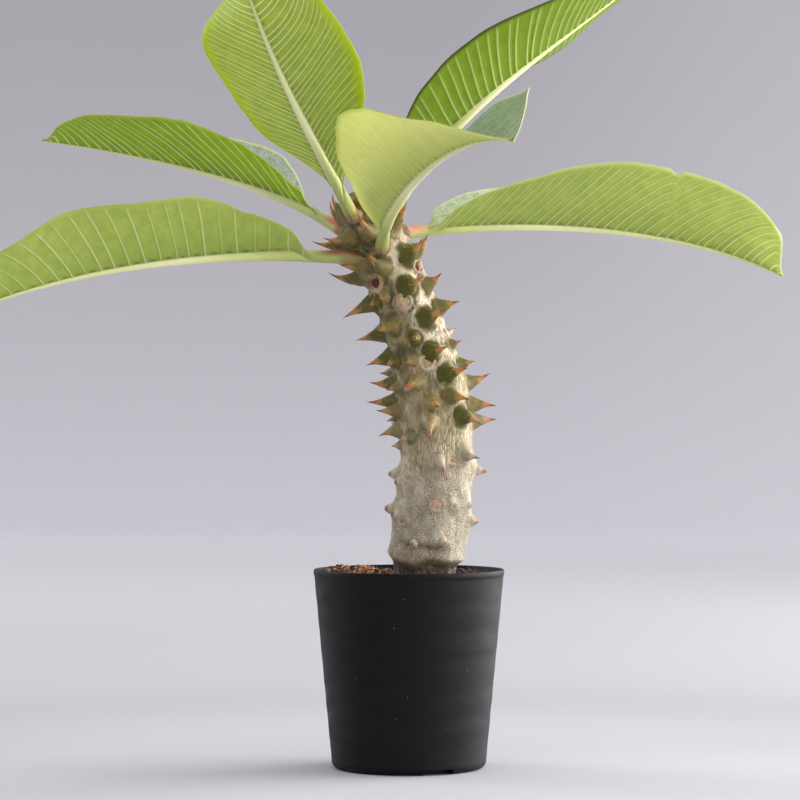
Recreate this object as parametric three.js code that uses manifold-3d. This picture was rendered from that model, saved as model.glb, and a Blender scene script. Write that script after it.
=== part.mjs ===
// Potted pachypodium: a thick spiny stem with a crown of six long leaves,
// growing in soil in a small round nursery pot.
// Millimetres, +Z up. The origin is the centre of the pot's flat underside,
// -Y is the front and +X is the right-hand side. Angles are in degrees; a
// bearing goes round the +Z axis from +X towards +Y.

import * as THREE from 'three';
import { mergeVertices } from 'three/addons/utils/BufferGeometryUtils.js';
import Module from 'manifold-3d';

const wasm = await Module();
wasm.setup();

// Pot dimensions
const POT_HEIGHT = 78;
const RIM_RADIUS = 37.5;
const WALL_TOP_RADIUS = 37.3;
const BASE_RADIUS = 30.45;
const BASE_CORNER = 3;
const WALL = 1.4;
const LIP_INNER_RADIUS = 35.9;
const LIP_HEIGHT = 2.4;
const FLOOR_THICK = 3;
const POT_SIDES = 56;
const NOTCH_WIDTH = 12;
const NOTCH_HEIGHT = 2;
const NOTCH_DEPTH = 5.5;
const NOTCH_COUNT = 3;
const FRONT_NOTCH_BEARING = -67;
const DRAIN_HOLE_RADIUS = 4;
const DRAIN_HOLE_CIRCLE = 15;

// Soil dimensions
const SOIL_GAP = 0.3;
const SOIL_LEVEL = 74.2;
const SOIL_SLOPE = 0.055;
const SOIL_ROUGHNESS = 1.1;
const SOIL_SIDES = 50;
const SOIL_RINGS = 10;

// Stem dimensions
const STEM_SIDES = 26;
const STEM_RINGS = 45;
const STEM_FOOT = 50;
const STEM_TOP = 227;
const PLAIN_FOOT = 82;
const FIT_GAP = 0.35;
const SMOOTHING = 0.06;
// Rows along the stem's centre: height, x, y, radius of the bare stem.
const STEM_LINE = [
  [50, 5.6, 0, 13.6],
  [64, 5.8, 0, 14.2],
  [76, 6.3, 0, 14.6],
  [84, 6.9, 0, 15.1],
  [96, 8.4, 0, 14.6],
  [108, 9.8, 0, 14.4],
  [122, 10.9, 0, 13.9],
  [136, 10.4, 0, 13.4],
  [152, 8.3, 0, 12.9],
  [164, 5.2, 0, 12.2],
  [176, 1.2, 0, 11.6],
  [188, -3.2, 0, 11.2],
  [200, -8.4, 0, 11.2],
  [210, -13.4, 0, 10.8],
  [218, -16.6, 0, 9.0],
  [224, -18.2, 0, 5.8],
  [227, -18.8, 0, 1.7],
];

// Spines that the front view shows: height, bearing, length, lift above level.
const FRONT_SPINES = [
  [211, 180, 14.5, 25], [211.5, -152, 11.5, 22], [198, 172, 14.5, 30],
  [202, -150, 10, 24], [187, -172, 14.5, -5], [175, 178, 12, 4],
  [165, -170, 11, -2], [159, 165, 7, 10], [154, -172, 11, 12], [146, 180, 13, 6],
  [142, -167, 10, 6], [134, -176, 9.5, -13], [127, -170, 4.5, -5],
  [114, -178, 4.5, -4], [111, -156, 3, -4], [100, -168, 4.5, -4],
  [98, -150, 3.5, -6], [219, 170, 9, 65], [221, -165, 8.5, 65],
  [222, -128, 9, 60], [221, -96, 8, 50], [210.5, -100, 10, 62],
  [213.5, -30, 10, 34], [197.5, -52, 11, 22], [198, -28, 10, 26],
  [186, -28, 8, 16], [187.5, -76, 9, 10], [177, -20, 9.5, -3],
  [174.5, -62, 9.5, 4], [163, -25, 5, 3], [162, -74, 8, 4], [155.5, -14, 6.5, 0],
  [153, -58, 9.5, 6], [149, 5, 11, 12], [145, -60, 9, -16], [141, -4, 11.5, -8],
  [135, 6, 11, 0], [137, -42, 9.5, -24], [123, -44, 7.5, -8], [118, -4, 6, -4],
  [105, -24, 2.6, 6], [99, -10, 4.5, 4], [187, -150, 5, -8], [176, -130, 9, 2],
  [163, -149, 6, -8], [161, -111, 5, 0], [152, -112, 8, -6], [143, -92, 8, -12],
  [136, -98, 9.5, -46], [131, -136, 6.5, -24], [121, -86, 6, -50],
  [88, -112, 2.0, -6], [90, -68, 2.6, -6], [196, -120, 10, 44], [169, -96, 5, 0],
  [187, -124, 4.5, 14], [152, -158, 6, -6], [139, 176, 6, -10],
];

// Old leaf scars of the front: height, bearing.
const FRONT_SCARS = [
  [195.5, -146], [195, -46], [183, -96], [172, -40], [159, -88], [151, -132],
  [133, -128], [121, -64], [104, -84], [110, -136], [96, -136], [104, -58],
];

// Round the back the same spiral goes on by rule.
const SPIRAL_TURN = 137.5;
const SPIRAL_RISE = 3.2;
const SPIRAL_START = 92;
const SPIRAL_END = 221;
const BACK_FROM = 52;
const BACK_TO = 128;
const PAIR_SPREAD = 17;

// Leaves. Each is a curved midrib (base, two pulls and tip) with a blade folded
// up on both sides of it. stalk is the bare share of the midrib, width the half
// width, point how drawn out the tip is, and roll, foldA and foldB are angles at
// the base, middle and tip.
const LEAVES = [
  {
    name: 'leaf_left_low',
    midrib: [[-25, -9, 200.3], [-78.8, -17, 201.5], [-128.4, -33.5, 196.3], [-177.2, -47, 173.6]],
    stalk: 0.07, width: 32.1, shoulder: 0.64, widest: 0.61, tipPower: 2.57, point: 0.6,
    roll: [6.7, 2.4, 8], foldA: [65, 50.6, 31.4], foldB: [62.5, 49.6, 28],
    wave: 2.0, waves: 3.04, phaseA: 2.0, phaseB: 2.6,
  },
  {
    name: 'leaf_left_high',
    midrib: [[-26.8, 4, 211.7], [-53.2, 46.1, 232.1], [-109.7, 79.7, 248.3], [-153.6, 72.7, 253.6]],
    stalk: 0.1, width: 30.5, shoulder: 0.73, widest: 0.66, tipPower: 2.15, point: 1.0,
    roll: [2.7, 4, 12], foldA: [66, 37.7, 31.9], foldB: [65, 35.9, 26.4],
    wave: 0.9, waves: 2.68, phaseA: -0.48, phaseB: 1.25,
  },
  {
    name: 'leaf_top_left',
    midrib: [[-22.6, -10, 217.5], [-37.6, -63.1, 244.8], [-48.8, -116.2, 259.6], [-62.2, -108.7, 303.4]],
    stalk: 0.1, width: 30.6, shoulder: 0.82, widest: 0.7, tipPower: 2.38, point: 0,
    roll: [11.5, 2.8, -19.8], foldA: [34.7, 12.4, 9.5], foldB: [28.7, 11.7, 19.5],
    wave: -1.48, waves: 2.38, phaseA: 9.04, phaseB: 3.67,
  },
  {
    name: 'leaf_front',
    midrib: [[-10.5, -13, 204.4], [-9.4, -65.4, 216], [13.7, -106.1, 242], [35.7, -150.4, 232.6]],
    stalk: 0.1, width: 35.4, shoulder: 0.77, widest: 0.5, tipPower: 2.4, point: 0,
    roll: [16.2, 7, 34.8], foldA: [58.6, 36.3, 34.2], foldB: [57.1, 34.9, 29.9],
    wave: 1.49, waves: 2.41, phaseA: -6.6, phaseB: -19.3,
  },
  {
    name: 'leaf_top_right',
    midrib: [[-9.1, 8, 212.7], [14, 0, 263], [73.2, 14, 292.3], [108.5, 42.3, 329.8]],
    stalk: 0.15, width: 32.7, shoulder: 0.45, widest: 0.57, tipPower: 2.46, point: 0,
    roll: [-46, -20.2, -12.6], foldA: [53, 12.4, -0.6], foldB: [56, 14.4, 2],
    wave: 0.9, waves: 2.51, phaseA: 1.41, phaseB: 8.6,
  },
  {
    name: 'leaf_right',
    midrib: [[-2.3, -2, 210.1], [33.3, 27.8, 215.9], [103.6, 23, 217.7], [150.2, 17.8, 193.6]],
    stalk: 0.08, width: 33.2, shoulder: 0.56, widest: 0.65, tipPower: 2.54, point: 0.8,
    roll: [20.3, -7.4, -7.5], foldA: [45, 44.7, 52.2], foldB: [35.3, 49.1, 55.8],
    wave: 1.24, waves: 2.45, phaseA: -13.66, phaseB: -6.27,
  },
];
const LEAF_STATIONS = 22;
const STATION_SPACING = 1.2;
const LEAF_END = 0.997;
const LEAF_COLUMNS = [0, 0.1, 0.4, 0.72, 1];
const BLADE_THICK = 0.75;
const STALK_RADIUS = 2.75;
const RIB_BASE_RADIUS = 2.25;
const RIB_TIP_RADIUS = 0.45;
const STALK_TAPER = 0.1;
const ROOT_SHARE = 0.52;
const CUSHION_RADIUS = 5.2;
const CUSHION_TIP_RADIUS = 3.5;

// Colours
const POT_COLOUR = 0x1b1b1f;
const SOIL_COLOUR = 0x6b3f26;
const STEM_COLOUR = 0x9a9a82;
const LEAF_COLOUR = 0x7fa63a;

const UP = new THREE.Vector3(0, 0, 1);
const radians = THREE.MathUtils.degToRad;
const mix = THREE.MathUtils.lerp;

// A repeatable random number from 0 to 1 for a whole-number seed.
function chance(seed) {
  const wave = Math.sin(seed * 12.9898 + 4.1414) * 43758.5453;
  return wave - Math.floor(wave);
}

// Value at t of the curve through three angles at the base, middle and tip.
function along(three, t) {
  const base = three[0] * (1 - t) * (1 - 2 * t);
  const middle = 4 * three[1] * t * (1 - t);
  const tip = three[2] * t * (2 * t - 1);
  return base + middle + tip;
}

// Joins rings of points, each with the same count, into one closed body. The
// rings run round +direction of travel anticlockwise.
function loft(rings) {
  const count = rings[0].length;
  const positions = [];
  const faces = [];
  rings.forEach((ring) => ring.forEach((p) => positions.push(p.x, p.y, p.z)));
  for (let i = 0; i < rings.length - 1; i += 1) {
    for (let j = 0; j < count; j += 1) {
      const a = i * count + j;
      const b = i * count + ((j + 1) % count);
      const c = a + count;
      const d = b + count;
      faces.push(a, b, d, a, d, c);
    }
  }
  const addCap = (ring, start, facesBack) => {
    const middle = new THREE.Vector3();
    ring.forEach((p) => middle.addScaledVector(p, 1 / count));
    const centre = positions.length / 3;
    positions.push(middle.x, middle.y, middle.z);
    for (let j = 0; j < count; j += 1) {
      const a = start + j;
      const b = start + ((j + 1) % count);
      faces.push(centre, facesBack ? b : a, facesBack ? a : b);
    }
  };
  addCap(rings[0], 0, true);
  addCap(rings[rings.length - 1], (rings.length - 1) * count, false);
  const geometry = new THREE.BufferGeometry();
  geometry.setAttribute('position', new THREE.Float32BufferAttribute(positions, 3));
  geometry.setIndex(faces);
  return geometry;
}

function toSolid(geometry) {
  const bare = geometry.clone();
  bare.deleteAttribute('normal');
  bare.deleteAttribute('uv');
  const merged = mergeVertices(bare, 1e-5);
  const vertProperties = new Float32Array(merged.attributes.position.array);
  const triVerts = new Uint32Array(merged.index.array);
  return new wasm.Manifold(new wasm.Mesh({ numProp: 3, vertProperties, triVerts }));
}

function toGeometry(solid) {
  const mesh = solid.getMesh();
  const geometry = new THREE.BufferGeometry();
  const positions = new Float32Array(mesh.vertProperties);
  geometry.setAttribute('position', new THREE.BufferAttribute(positions, 3));
  geometry.setIndex(new THREE.BufferAttribute(new Uint32Array(mesh.triVerts), 1));
  geometry.computeVertexNormals();
  return geometry;
}

// The largest body of a solid, without loose scraps.
function largestBody(solid) {
  const bodies = solid.decompose();
  return bodies.reduce((best, body) => (body.volume() > best.volume() ? body : best));
}

function polar(radius, bearing, z) {
  const angle = radians(bearing);
  return new THREE.Vector3(radius * Math.cos(angle), radius * Math.sin(angle), z);
}

// Pot: a turned cup with a thicker lip, cut by notches and drain holes.
function potRadiusOutside(z) {
  return mix(BASE_RADIUS, WALL_TOP_RADIUS, (z - BASE_CORNER) / (POT_HEIGHT - LIP_HEIGHT - BASE_CORNER));
}

function potRadiusInside(z) {
  return potRadiusOutside(z) - WALL;
}

function makePot() {
  const profile = [new THREE.Vector2(0, 0)];
  const cornerSteps = 4;
  for (let i = 0; i <= cornerSteps; i += 1) {
    const angle = (i / cornerSteps) * Math.PI * 0.5;
    const r = BASE_RADIUS - BASE_CORNER + BASE_CORNER * Math.sin(angle);
    profile.push(new THREE.Vector2(r, BASE_CORNER - BASE_CORNER * Math.cos(angle)));
  }
  const lipFoot = POT_HEIGHT - LIP_HEIGHT;
  profile.push(new THREE.Vector2(WALL_TOP_RADIUS, lipFoot));
  profile.push(new THREE.Vector2(RIM_RADIUS, lipFoot + 0.6));
  profile.push(new THREE.Vector2(RIM_RADIUS, POT_HEIGHT - 0.5));
  profile.push(new THREE.Vector2(RIM_RADIUS - 0.5, POT_HEIGHT));
  profile.push(new THREE.Vector2(LIP_INNER_RADIUS + 0.5, POT_HEIGHT));
  profile.push(new THREE.Vector2(LIP_INNER_RADIUS, POT_HEIGHT - 0.5));
  profile.push(new THREE.Vector2(potRadiusInside(FLOOR_THICK), FLOOR_THICK));
  profile.push(new THREE.Vector2(0, FLOOR_THICK));
  const cup = new THREE.LatheGeometry(profile, POT_SIDES);
  cup.rotateX(Math.PI / 2);
  let solid = toSolid(cup);
  for (let i = 0; i < NOTCH_COUNT; i += 1) {
    const bearing = FRONT_NOTCH_BEARING + (360 / NOTCH_COUNT) * i;
    const notch = new THREE.BoxGeometry(2 * NOTCH_DEPTH, NOTCH_WIDTH, 2 * NOTCH_HEIGHT);
    notch.translate(BASE_RADIUS, 0, 0);
    notch.rotateZ(radians(bearing));
    solid = solid.subtract(toSolid(notch));
    const drain = new THREE.CylinderGeometry(DRAIN_HOLE_RADIUS, DRAIN_HOLE_RADIUS, 4 * FLOOR_THICK, 16);
    drain.rotateX(Math.PI / 2);
    const centre = polar(DRAIN_HOLE_CIRCLE, bearing + 180 / NOTCH_COUNT, 0);
    drain.translate(centre.x, centre.y, centre.z);
    solid = solid.subtract(toSolid(drain));
  }
  return toGeometry(solid);
}

// Stem: a bent round body with raised cushions, scars and hooked spines.
const stemCurve = new THREE.CatmullRomCurve3(
  STEM_LINE.map(([z, x, y]) => new THREE.Vector3(x, y, z)), false, 'catmullrom',
);
const stemRadiusCurve = new THREE.CatmullRomCurve3(
  STEM_LINE.map(([z, , , radius]) => new THREE.Vector3(radius, 0, z)), false, 'catmullrom',
);

// Share of the stem's curve that reaches a height.
function stemShare(z) {
  let low = 0;
  let high = 1;
  for (let i = 0; i < 30; i += 1) {
    const middle = (low + high) / 2;
    if (stemCurve.getPoint(middle).z < z) {
      low = middle;
    } else {
      high = middle;
    }
  }
  return (low + high) / 2;
}

// The stem's centre, its three directions and its bare radius at a share.
function stemFrame(share) {
  const centre = stemCurve.getPoint(share);
  const axis = stemCurve.getTangent(share);
  const right = new THREE.Vector3(1, 0, 0);
  right.addScaledVector(axis, -right.dot(axis)).normalize();
  const away = new THREE.Vector3().crossVectors(axis, right);
  return { centre, axis, right, away, radius: stemRadiusCurve.getPoint(share).x };
}

function stemOutward(frame, bearing) {
  const angle = radians(bearing);
  const outward = frame.right.clone().multiplyScalar(Math.cos(angle));
  return outward.addScaledVector(frame.away, Math.sin(angle));
}

function turnBetween(a, b) {
  const turn = Math.abs(a - b) % 360;
  return Math.min(turn, 360 - turn);
}

function backNodes() {
  const nodes = [];
  let step = 0;
  for (let z = SPIRAL_START; z < SPIRAL_END; z += SPIRAL_RISE) {
    const bearing = (step * SPIRAL_TURN) % 360;
    if (bearing > BACK_FROM && bearing < BACK_TO) {
      nodes.push([z, bearing]);
    }
    step += 1;
  }
  return nodes;
}

function spineLengthAt(z) {
  return THREE.MathUtils.clamp(mix(3, 10.5, (z - 98) / 40), 3, 10.5);
}

function backSpines() {
  const rows = [];
  backNodes().forEach(([z, bearing], i) => {
    [-1, 1].forEach((side) => {
      const seed = 2 * i + (side > 0 ? 1 : 0);
      const length = spineLengthAt(z) * mix(0.85, 1.1, chance(seed));
      const lift = mix(-8, 16, chance(seed + 50)) + (z > 205 ? 35 : 0);
      rows.push([z - 1.5, bearing + side * PAIR_SPREAD, length, lift]);
    });
  });
  return rows;
}

const SPINES = FRONT_SPINES.concat(backSpines());
const SCARS = FRONT_SCARS.concat(backNodes());

// Height of the cushions and scars above the bare stem.
function stemRelief(z, bearing, radius) {
  const bump = (rowZ, rowBearing, height, reach) => {
    const sideways = radians(turnBetween(bearing, rowBearing)) * radius;
    const distance = Math.hypot(sideways, z - rowZ) / reach;
    return height * Math.exp(-distance * distance);
  };
  let relief = 0;
  SPINES.forEach(([rowZ, rowBearing, length]) => {
    relief = Math.max(relief, bump(rowZ, rowBearing, 0.2 * length, 4.4));
  });
  SCARS.forEach(([rowZ, rowBearing]) => {
    relief = Math.max(relief, bump(rowZ, rowBearing, 1.3, 3.6));
  });
  return z > PLAIN_FOOT ? relief : 0;
}

function stemBody() {
  const rings = [];
  for (let i = 0; i <= STEM_RINGS; i += 1) {
    const frame = stemFrame(i / STEM_RINGS);
    const ring = [];
    for (let j = 0; j < STEM_SIDES; j += 1) {
      const bearing = (360 * j) / STEM_SIDES;
      const swell = stemRelief(frame.centre.z, bearing, frame.radius);
      const outward = stemOutward(frame, bearing);
      ring.push(frame.centre.clone().addScaledVector(outward, frame.radius + swell));
    }
    rings.push(ring);
  }
  return loft(rings);
}

// A hooked spine: broad at its foot, drawn out to a sharp end.
function spine([z, bearing, length, lift], index) {
  const sides = 6;
  const frame = stemFrame(stemShare(z));
  const outward = stemOutward(frame, bearing);
  const angle = radians(lift);
  const tipWay = outward.clone().multiplyScalar(Math.cos(angle));
  tipWay.addScaledVector(frame.axis, Math.sin(angle));
  const foot = frame.centre.clone().addScaledVector(outward, frame.radius);
  const footRadius = Math.min(4.0, 1.5 + 0.27 * length);
  const spots = [
    { reach: -2.4, share: 1.3 },
    { reach: 0.3 * length, share: 0.72 },
    { reach: 0.62 * length, share: 0.32 },
    { reach: length, share: 0.04 },
  ];
  const rings = spots.map(({ reach, share }) => {
    const bend = THREE.MathUtils.clamp(reach / length, 0, 1);
    const way = outward.clone().lerp(tipWay, bend).normalize();
    const centre = foot.clone().addScaledVector(way, reach);
    const side = new THREE.Vector3().crossVectors(frame.axis, way).normalize();
    const top = new THREE.Vector3().crossVectors(way, side);
    const ring = [];
    for (let j = 0; j < sides; j += 1) {
      const turn = ((j + 0.5 * chance(index)) / sides) * 2 * Math.PI;
      const radius = footRadius * share;
      const point = centre.clone().addScaledVector(side, radius * Math.cos(turn));
      ring.push(point.addScaledVector(top, radius * Math.sin(turn)));
    }
    return ring;
  });
  return loft(rings);
}

// Round tube through a list of { centre, axis, radius } spots.
function tube(spots, sides) {
  const rings = spots.map(({ centre, axis, radius }) => {
    const side = new THREE.Vector3().crossVectors(UP, axis).normalize();
    const top = new THREE.Vector3().crossVectors(axis, side);
    const ring = [];
    for (let j = 0; j < sides; j += 1) {
      const turn = (j / sides) * 2 * Math.PI;
      const point = centre.clone().addScaledVector(side, radius * Math.cos(turn));
      ring.push(point.addScaledVector(top, radius * Math.sin(turn)));
    }
    return ring;
  });
  return loft(rings);
}

// Leaf centre lines
function leafCurve(leaf) {
  const [base, pullA, pullB, tip] = leaf.midrib.map((p) => new THREE.Vector3(...p));
  return new THREE.CubicBezierCurve3(base, pullA, pullB, tip);
}

// Inner end of the leaf's stalk, buried in its cushion on the stem.
function leafRoot(leaf) {
  const base = new THREE.Vector3(...leaf.midrib[0]);
  const axisPoint = stemCurve.getPoint(stemShare(base.z - 3));
  return axisPoint.lerp(base, ROOT_SHARE);
}

// Tangent, upward and sideways directions of the leaf at a share of its curve.
function leafFrame(leaf, curve, share, roll) {
  const axis = curve.getTangent(share);
  const reach = curve.v3.clone().sub(curve.v0).setZ(0).normalize();
  const up = UP.clone().addScaledVector(reach, -0.8);
  up.addScaledVector(axis, -up.dot(axis)).normalize();
  const side = new THREE.Vector3().crossVectors(axis, up);
  const angle = radians(roll);
  const turnedUp = up.clone().multiplyScalar(Math.cos(angle));
  turnedUp.addScaledVector(side, Math.sin(angle));
  const turnedSide = side.clone().multiplyScalar(Math.cos(angle));
  turnedSide.addScaledVector(up, -Math.sin(angle));
  return { axis, up: turnedUp, side: turnedSide };
}

function bladeHalfWidth(leaf, t) {
  if (t < leaf.widest) {
    const rise = Math.sin((Math.PI / 2) * Math.max(0, t / leaf.widest));
    return leaf.width * rise ** leaf.shoulder;
  }
  const past = Math.min(1, (t - leaf.widest) / (1 - leaf.widest));
  const sharp = 0.6 + leaf.point * THREE.MathUtils.smoothstep(past, 0.84, 1);
  return leaf.width * (1 - past ** leaf.tipPower) ** sharp;
}

function ribRadius(share) {
  if (share < STALK_TAPER) {
    return mix(STALK_RADIUS, RIB_BASE_RADIUS, share / STALK_TAPER);
  }
  return mix(RIB_BASE_RADIUS, RIB_TIP_RADIUS, ((share - STALK_TAPER) / (1 - STALK_TAPER)) ** 0.7);
}

// One ring of a leaf, anticlockwise round the midrib: the under face from edge
// to edge, then the upper face back again. Near the stalk it closes to a round.
function leafRing(leaf, curve, share) {
  const t = THREE.MathUtils.clamp((share - leaf.stalk) / (1 - leaf.stalk), 0, 1);
  const spread = THREE.MathUtils.smoothstep(t, 0, 0.07);
  const centre = curve.getPoint(share);
  const { up, side } = leafFrame(leaf, curve, share, along(leaf.roll, t));
  const rib = ribRadius(share);
  const halfWidth = Math.max(bladeHalfWidth(leaf, t), rib * 1.15);
  const last = LEAF_COLUMNS.length - 1;
  const upper = [];
  const under = [];
  for (let j = last; j >= -last; j -= 1) {
    const column = Math.abs(j);
    const hand = Math.sign(j);
    const fold = along(hand < 0 ? leaf.foldA : leaf.foldB, t);
    const angle = radians(hand === 0 ? 0 : fold);
    const least = column === 1 ? rib : 0;
    const width = Math.max(least, LEAF_COLUMNS[column] * halfWidth);
    const out = side.clone().multiplyScalar(Math.cos(angle) * hand);
    out.addScaledVector(up, Math.sin(angle));
    const face = up.clone().multiplyScalar(Math.cos(angle));
    face.addScaledVector(side, -Math.sin(angle) * hand);
    const phase = hand < 0 ? leaf.phaseA : leaf.phaseB;
    const fade = THREE.MathUtils.clamp(t * 6, 0, 1) * THREE.MathUtils.clamp((1 - t) * 6, 0, 1);
    const swing = Math.sin(2 * Math.PI * leaf.waves * t + phase);
    const ripple = leaf.wave * LEAF_COLUMNS[column] ** 2 * fade * swing;
    const thick = BLADE_THICK / 2;
    const middle = centre.clone().addScaledVector(out, width).addScaledVector(face, ripple);
    const bladeTop = middle.clone().addScaledVector(face, column === 0 ? 0.35 * rib : thick);
    const bladeUnder = middle.clone().addScaledVector(face, column === 0 ? -rib : -thick);
    const turn = radians(90 - (80 / last) * j);
    const roundTop = centre.clone().addScaledVector(side, rib * Math.cos(turn));
    const roundUnder = roundTop.clone().addScaledVector(up, -rib * Math.sin(turn));
    roundTop.addScaledVector(up, rib * Math.sin(turn));
    upper.push(roundTop.lerp(bladeTop, spread));
    under.push(roundUnder.lerp(bladeUnder, spread));
  }
  return upper.concat(under.reverse()).reverse();
}

// Rings of the buried end of the stalk, from its root out to the leaf's base.
function stalkFootSpots(leaf, extra) {
  const curve = leafCurve(leaf);
  const root = leafRoot(leaf);
  const way = curve.v0.clone().sub(root).normalize();
  const start = curve.getTangent(0);
  const bend = way.clone().add(start).normalize();
  const radius = STALK_RADIUS + extra;
  const inner = root.clone().addScaledVector(way, -extra);
  return [
    { centre: inner, axis: way, radius },
    { centre: root.clone().lerp(curve.v0, 0.6), axis: way.clone().lerp(bend, 0.3).normalize(), radius },
    { centre: curve.v0.clone(), axis: bend, radius },
  ];
}

function leafGeometry(leaf) {
  const curve = leafCurve(leaf);
  const rings = [];
  const last = LEAF_COLUMNS.length - 1;
  const firstUp = leafFrame(leaf, curve, 0, along(leaf.roll, 0)).up;
  stalkFootSpots(leaf, 0).forEach(({ centre, axis, radius }) => {
    const up = firstUp.clone().addScaledVector(axis, -firstUp.dot(axis)).normalize();
    const side = new THREE.Vector3().crossVectors(axis, up);
    const upper = [];
    const under = [];
    for (let j = last; j >= -last; j -= 1) {
      const turn = radians(90 - (80 / last) * j);
      const across = centre.clone().addScaledVector(side, radius * Math.cos(turn));
      upper.push(across.clone().addScaledVector(up, radius * Math.sin(turn)));
      under.push(across.clone().addScaledVector(up, -radius * Math.sin(turn)));
    }
    rings.push(upper.concat(under.reverse()).reverse());
  });
  for (let i = 1; i <= LEAF_STATIONS; i += 1) {
    const share = (i / LEAF_STATIONS) ** STATION_SPACING;
    rings.push(leafRing(leaf, curve, Math.min(share, LEAF_END)));
  }
  return loft(rings);
}

// What the stem leaves free for a stalk, with its fitting gap.
function socketGeometry(leaf) {
  const curve = leafCurve(leaf);
  const spots = stalkFootSpots(leaf, FIT_GAP);
  [0.03, 0.06, 0.09].forEach((share) => {
    spots.push({
      centre: curve.getPoint(share),
      axis: curve.getTangent(share),
      radius: ribRadius(share) + FIT_GAP,
    });
  });
  return tube(spots, 14);
}

// The raised cushion that carries a leaf's stalk.
function cushionGeometry(leaf) {
  const base = new THREE.Vector3(...leaf.midrib[0]);
  const root = leafRoot(leaf);
  const axis = base.clone().sub(root).normalize();
  const start = root.clone().addScaledVector(axis, -5);
  return tube([
    { centre: start, axis, radius: CUSHION_RADIUS },
    { centre: root.clone().lerp(base, 0.3), axis, radius: CUSHION_RADIUS * 0.95 },
    { centre: base, axis, radius: CUSHION_TIP_RADIUS },
  ], 12);
}

function makeStem() {
  let solid = toSolid(stemBody());
  const pieces = SPINES.map((row, index) => toSolid(spine(row, index)));
  LEAVES.forEach((leaf) => pieces.push(toSolid(cushionGeometry(leaf))));
  pieces.forEach((piece) => {
    solid = solid.add(piece);
  });
  LEAVES.forEach((leaf) => {
    solid = solid.subtract(toSolid(socketGeometry(leaf)));
  });
  return toGeometry(largestBody(solid).simplify(SMOOTHING));
}

// Soil: fills the pot with a rough sloping top and a plain hole for the stem.
function soilTop(x, y, seed) {
  const bump = (chance(seed) - 0.5) * SOIL_ROUGHNESS;
  const [, stemX] = STEM_LINE[2];
  const mound = 1.2 * Math.exp(-(((x - stemX) ** 2 + y * y) / 420));
  return SOIL_LEVEL - SOIL_SLOPE * x + mound + bump;
}

function makeSoil() {
  const floorZ = FLOOR_THICK + SOIL_GAP;
  const ringAt = (radius, heightOf) => {
    const ring = [];
    for (let j = 0; j < SOIL_SIDES; j += 1) {
      const p = polar(radius, (360 * j) / SOIL_SIDES, 0);
      p.z = heightOf(p.x, p.y, j);
      ring.push(p);
    }
    return ring;
  };
  const rings = [ringAt(potRadiusInside(floorZ) - SOIL_GAP - 0.2, () => floorZ)];
  const edge = potRadiusInside(SOIL_LEVEL - 3) - SOIL_GAP - 0.25;
  rings.push(ringAt(edge, (x) => SOIL_LEVEL - 2.2 - SOIL_SLOPE * x));
  for (let i = 1; i <= SOIL_RINGS; i += 1) {
    const radius = edge * (1 - (i - 0.4) / (SOIL_RINGS + 0.6));
    rings.push(ringAt(radius, (x, y, j) => soilTop(x, y, i * 97 + j)));
  }
  const hole = [];
  for (let z = STEM_FOOT - FIT_GAP; z < PLAIN_FOOT + 2; z += 4) {
    const frame = stemFrame(stemShare(Math.max(z, STEM_FOOT)));
    const ring = [];
    for (let j = 0; j < STEM_SIDES; j += 1) {
      const outward = stemOutward(frame, (360 * j) / STEM_SIDES);
      const point = frame.centre.clone().addScaledVector(outward, frame.radius + FIT_GAP);
      point.z += z < STEM_FOOT ? -FIT_GAP : 0;
      ring.push(point);
    }
    hole.push(ring);
  }
  const solid = toSolid(loft(rings)).subtract(toSolid(loft(hole)));
  return toGeometry(largestBody(solid));
}

function addPiece(group, name, geometry, colour, roughness) {
  geometry.computeVertexNormals();
  const material = new THREE.MeshStandardMaterial({ color: colour, roughness, metalness: 0 });
  const mesh = new THREE.Mesh(geometry, material);
  mesh.name = name;
  group.add(mesh);
}

const plant = new THREE.Group();
addPiece(plant, 'pot', makePot(), POT_COLOUR, 0.45);
addPiece(plant, 'soil', makeSoil(), SOIL_COLOUR, 0.95);
addPiece(plant, 'stem', makeStem(), STEM_COLOUR, 0.8);
LEAVES.forEach((leaf) => {
  addPiece(plant, leaf.name, leafGeometry(leaf), LEAF_COLOUR, 0.5);
});

export default plant;
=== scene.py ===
# Potted pachypodium: a thick spiny stem with six long leaves in a black pot.
# Lengths are in millimetres and become metres in make_piece. +Z is up, -Y is
# the front and +X the right-hand side. Angles are in degrees, and a bearing
# goes round +Z from +X towards +Y. The plant's measures repeat the solids', but
# the nicks, the starts of two blades and the turned spine tips are only here.

import math

import bmesh
import bpy
import numpy as np
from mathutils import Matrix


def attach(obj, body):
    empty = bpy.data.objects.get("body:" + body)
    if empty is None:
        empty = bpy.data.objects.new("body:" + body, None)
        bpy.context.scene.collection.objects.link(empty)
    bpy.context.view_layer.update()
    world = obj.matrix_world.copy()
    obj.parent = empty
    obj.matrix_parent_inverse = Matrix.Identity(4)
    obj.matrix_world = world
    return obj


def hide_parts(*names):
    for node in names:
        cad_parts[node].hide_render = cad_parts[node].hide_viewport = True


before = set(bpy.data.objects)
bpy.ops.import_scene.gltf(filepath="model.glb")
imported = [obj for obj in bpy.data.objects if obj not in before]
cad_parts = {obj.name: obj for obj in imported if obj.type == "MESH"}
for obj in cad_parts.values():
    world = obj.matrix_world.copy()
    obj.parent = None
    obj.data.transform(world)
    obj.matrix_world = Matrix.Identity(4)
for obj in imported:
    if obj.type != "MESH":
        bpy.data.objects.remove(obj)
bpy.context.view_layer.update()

METRES = 0.001
UP = np.array([0.0, 0.0, 1.0])

# Camera: where the photograph was taken from, with its lens and slight tilt.
CAMERA_PLACE = (-3.5, -1181.0, 137.8)
CAMERA_LENS = 135.0
CAMERA_SENSOR = 36.0
CAMERA_TILT_UP = 0.325
CAMERA_CLIP = (0.05, 50)

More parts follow.
